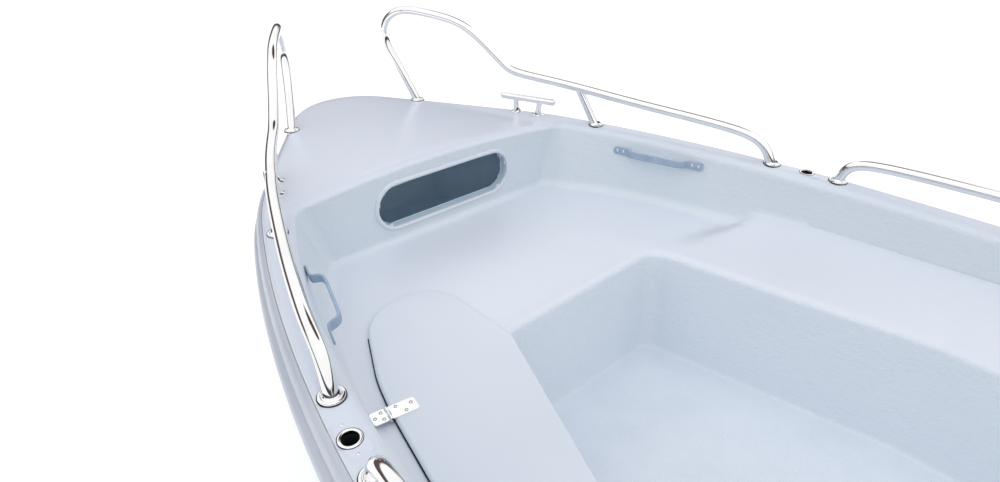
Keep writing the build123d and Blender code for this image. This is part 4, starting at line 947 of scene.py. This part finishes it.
# Oarlock sockets: a polished stainless ring and a black sleeve let into the gunwale and held by
# two screws. The gunwale round each bore is a fine patch of gelcoat, so that the bore is round.
bore = 0.0155
socket_profile = [
    (0.0210, 0.0), (0.0210, 0.0012), (0.0200, 0.0020), (0.0175, 0.0020), (0.0158, 0.0012), (bore, 0.0),
    (bore, -0.006),
]
sealant_profile = [(0.0222, -0.001), (0.0222, 0.0007), (0.0208, 0.0010), (0.0208, -0.001)]
sleeves = []
for side, sign in sides:
    base = deck_point(oarlock_x, sign * oarlock_y)
    ring = [turned(socket_profile, base, deck_up, 48)]
    for x, y in ((0.702, 0.785), (0.633, 0.794)):
        ring.append(screw(deck_point(x, sign * y), deck_up, 0.0032))
    socket = sheet(f"oarlock_ring_{side}", ring, stainless, "boat", sharp=50.0)
    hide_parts(f"oarlock_socket_{side}")
    sleeves.append(turned([(bore, -0.006), (bore, -0.054), (0.0, -0.054)], base, deck_up, 48))
    sleeves.append(turned(sealant_profile, base, deck_up, 48))
sheet("oarlock_sleeves", sleeves, black_rubber_and_shade, "boat")

# the patch's outline is a rounded oblong: the sixth powers of its shares of the two half
# lengths add up to one. Toward the deck's edge it follows the edge's round.
turn = np.linspace(0, 2 * np.pi, 61)
circle = np.stack([np.cos(turn), np.sin(turn)], axis=1)
patch = (np.abs(circle / (0.046, 0.0225)) ** 6).sum(axis=1, keepdims=True) ** (-1 / 6) * circle
bedding = blend(circle * bore, patch, np.linspace(0, 1, 9)) + (oarlock_x, oarlock_y)
past_round = edge_round - (half_breadth(bedding[..., 0]) - bedding[..., 1])
fall = edge_round - np.sqrt(edge_round**2 - np.clip(past_round, 0, 0.0139) ** 2)
bedding = np.dstack([bedding, deck_height(bedding[..., 0]) - fall + 0.0002])[::-1]
sheet("oarlock_beddings", [bedding, (bedding * mirrored)[:, ::-1]], cockpit_gelcoat, "boat")


# Lid hinges: leaves of polished strip, which are the model's own solids. Each leaf is held by
# three domed screws, and each screw stands in a flat black ring, painted shade for the shadow round its
# head.
leaf_top, upward = 0.4233, (0, 0, 1)
screw_shade_ring = [(0.0039, 0.0), (0.0039, 0.0003), (0.0029, 0.0003)]
boat_leaf = ((0.014, 0.010), (0.014, -0.010), (0.030, 0.0))
lid_leaf = ((-0.020, -0.011), (-0.036, 0.010), (-0.053, -0.006))
hinges = (
    ("bench_lid", (0.839, 0.6302), (0.1686, 0.9857)), ("bench_lid", (0.480, 0.6916), (0.1686, 0.9857)),
    ("stern_lid", (-1.489, 0.28), (1.0, 0.0)), ("stern_lid", (-1.489, -0.28), (1.0, 0.0)),
)
screw_places = {"boat": [], "bench_lid": [], "stern_lid": []}
for lid_body, pin, (away_x, away_y) in hinges:
    away, beside = np.array([away_x, away_y]), np.array([-away_y, away_x])
    for body, leaf in (("boat", boat_leaf), (lid_body, lid_leaf)):
        screw_places[body] += [np.append(pin + away * a + beside * b, leaf_top) for a, b in leaf]
for body, spots in screw_places.items():
    heads = [screw(spot, upward, 0.003) for spot in spots]
    sheet(f"hinge_screws_{body}", heads, stainless, body)
    # painted shade: a flat black ring round each screw head
    screw_shade_rims = [turned(screw_shade_ring, spot, upward, 18) for spot in spots]
    sheet(f"hinge_screw_shade_rings_{body}", screw_shade_rims, black_rubber_and_shade, body)


# Pieces that keep the model's own solids: hinge leaves, bow eye and drain plug of stainless steel,
# and the outboard motor, of painted castings, a glossy moulded cowl, bare alloy and black plastic.
black_plastic, shader, place = finish("black_plastic")
shader.feed(
    Base_Color=shader.noise(place, 40.0, 3.0).mix(colour(30, 31, 33), colour(42, 43, 46)),
    Roughness=0.4 + 0.2 * shader.noise(place, 90.0, 3.0),
)
motor_paint, shader, place = finish("motor_paint", Coat_Weight=0.3, Coat_Roughness=0.2)
shader.feed(
    Base_Color=shader.clouded(place, 8.0, 4.0, (92, 97, 104), (101, 106, 113)),
    Roughness=0.32 + 0.12 * shader.noise(place, 30.0, 3.0),
)
cowl_paint, shader, place = finish("cowl_paint", Coat_Weight=0.8, Coat_Roughness=0.06)
shader.feed(
    Base_Color=shader.clouded(place, 5.0, 4.0, (74, 79, 87), (82, 88, 96)),
    Roughness=0.28 + 0.08 * shader.noise(place, 20.0, 3.0),
)
cast_alloy, shader, place = finish("cast_alloy", Metallic=0.8)
shader.feed(
    Base_Color=shader.noise(place, 25.0, 4.0).mix(colour(120, 122, 125), colour(145, 147, 150)),
    Roughness=0.4 + 0.2 * shader.noise(place, 45.0, 3.0),
)
leaves = ("bench_hinge_leaves", "bench_lid_leaves", "stern_hinge_leaves", "stern_lid_leaves")
for material, nodes in (
    (stainless, (*leaves, "bow_eye", "drain_plug")),
    (black_plastic, ("transom_pads", "tiller")),
    (motor_paint, ("clamp_bracket", "swivel_bracket", "drive_leg", "motor_pan")),
    (cowl_paint, ("motor_cowl",)),
    (cast_alloy, ("clamp_screws", "powerhead", "propeller")),
):
    for node in nodes:
        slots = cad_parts[node].data.materials
        slots.clear()
        slots.append(material)


# Studio: a white floor at the waterline and a white sky all round. A dark band at the horizon, a
# brown wall ahead and a brown screen overhead are there for the polished steel to reflect.
white = (1.0, 1.0, 1.0, 1.0)
floor_paint, shader, place = finish(
    "floor_paint", Roughness=0.9, Emission_Color=white, Emission_Strength=0.15
)
shader.feed(Base_Color=shader.noise(place, 0.6, 2.0).mix(colour(250, 250, 250), colour(252, 252, 252)))
floor_mesh = bpy.data.meshes.new("floor")
floor_mesh.from_pydata([(-40, -40, 0), (40, -40, 0), (40, 40, 0), (-40, 40, 0)], [], [(0, 1, 2, 3)])
floor_mesh.materials.append(floor_paint)
floor = bpy.data.objects.new("floor", floor_mesh)
bpy.context.scene.collection.objects.link(floor)

world = bpy.data.worlds.new("studio")
bpy.context.scene.world = world
world.use_nodes = True
sky = Field(world.node_tree, world.node_tree.nodes["Background"].outputs[0])
direction = sky.node("ShaderNodeTexCoord", {}, {}, 0)
forward, height = (sky.node("ShaderNodeSeparateXYZ", {}, {0: direction}, k) for k in (0, 2))
above_floor = height.step(-0.02, 0.0)
band = above_floor * (1 - height.step(0.12, 0.20))
wall = forward.step(0.55, 0.75) * above_floor * (1 - height.step(0.30, 0.42))
facing = {0: direction, 1: (0.33, -0.53, 0.78)}
screen = sky.node("ShaderNodeVectorMath", {"operation": "DOT_PRODUCT"}, facing, 1).step(0.950, 0.972)
shade = wall.mix(band.mix(white, (0.05, 0.055, 0.06, 1.0)), (0.10, 0.075, 0.07, 1.0))
sky.feed(Color=screen.mix(shade, (0.09, 0.05, 0.045, 1.0)))
world.node_tree.nodes["Background"].inputs["Strength"].default_value = 1.12
lamp = bpy.data.lights.new("overhead", "AREA")
lamp.shape, lamp.size, lamp.size_y, lamp.energy = "RECTANGLE", 5.0, 5.0, 20.0
overhead = bpy.data.objects.new("overhead", lamp)
overhead.location = (0.5, 1.0, 5.0)
bpy.context.scene.collection.objects.link(overhead)
bpy.context.scene.view_settings.view_transform = "Standard"

# the camera looks along its fitted heading and pitch, and is rolled about its line of sight
heading, pitch, roll = math.radians(-41.006), math.radians(-29.784), math.radians(-0.645)
level = math.cos(pitch)
ahead = np.array([level * math.cos(heading), level * math.sin(heading), math.sin(pitch)])
level_right = np.cross(ahead, (0, 0, 1))
level_right /= np.linalg.norm(level_right)
level_up = np.cross(level_right, ahead)
right = math.cos(roll) * level_right + math.sin(roll) * level_up
up = -math.sin(roll) * level_right + math.cos(roll) * level_up
camera = bpy.data.objects.new("camera", bpy.data.cameras.new("camera"))
camera.data.lens, camera.data.sensor_width, camera.data.clip_start = 21.903, 36.0, 0.02
placing = np.identity(4)
placing[:3] = np.column_stack([right, up, -ahead, (-0.013, 1.058, 1.363)])
camera.matrix_world = Matrix(placing.tolist())
bpy.context.scene.collection.objects.link(camera)
bpy.context.scene.camera = camera
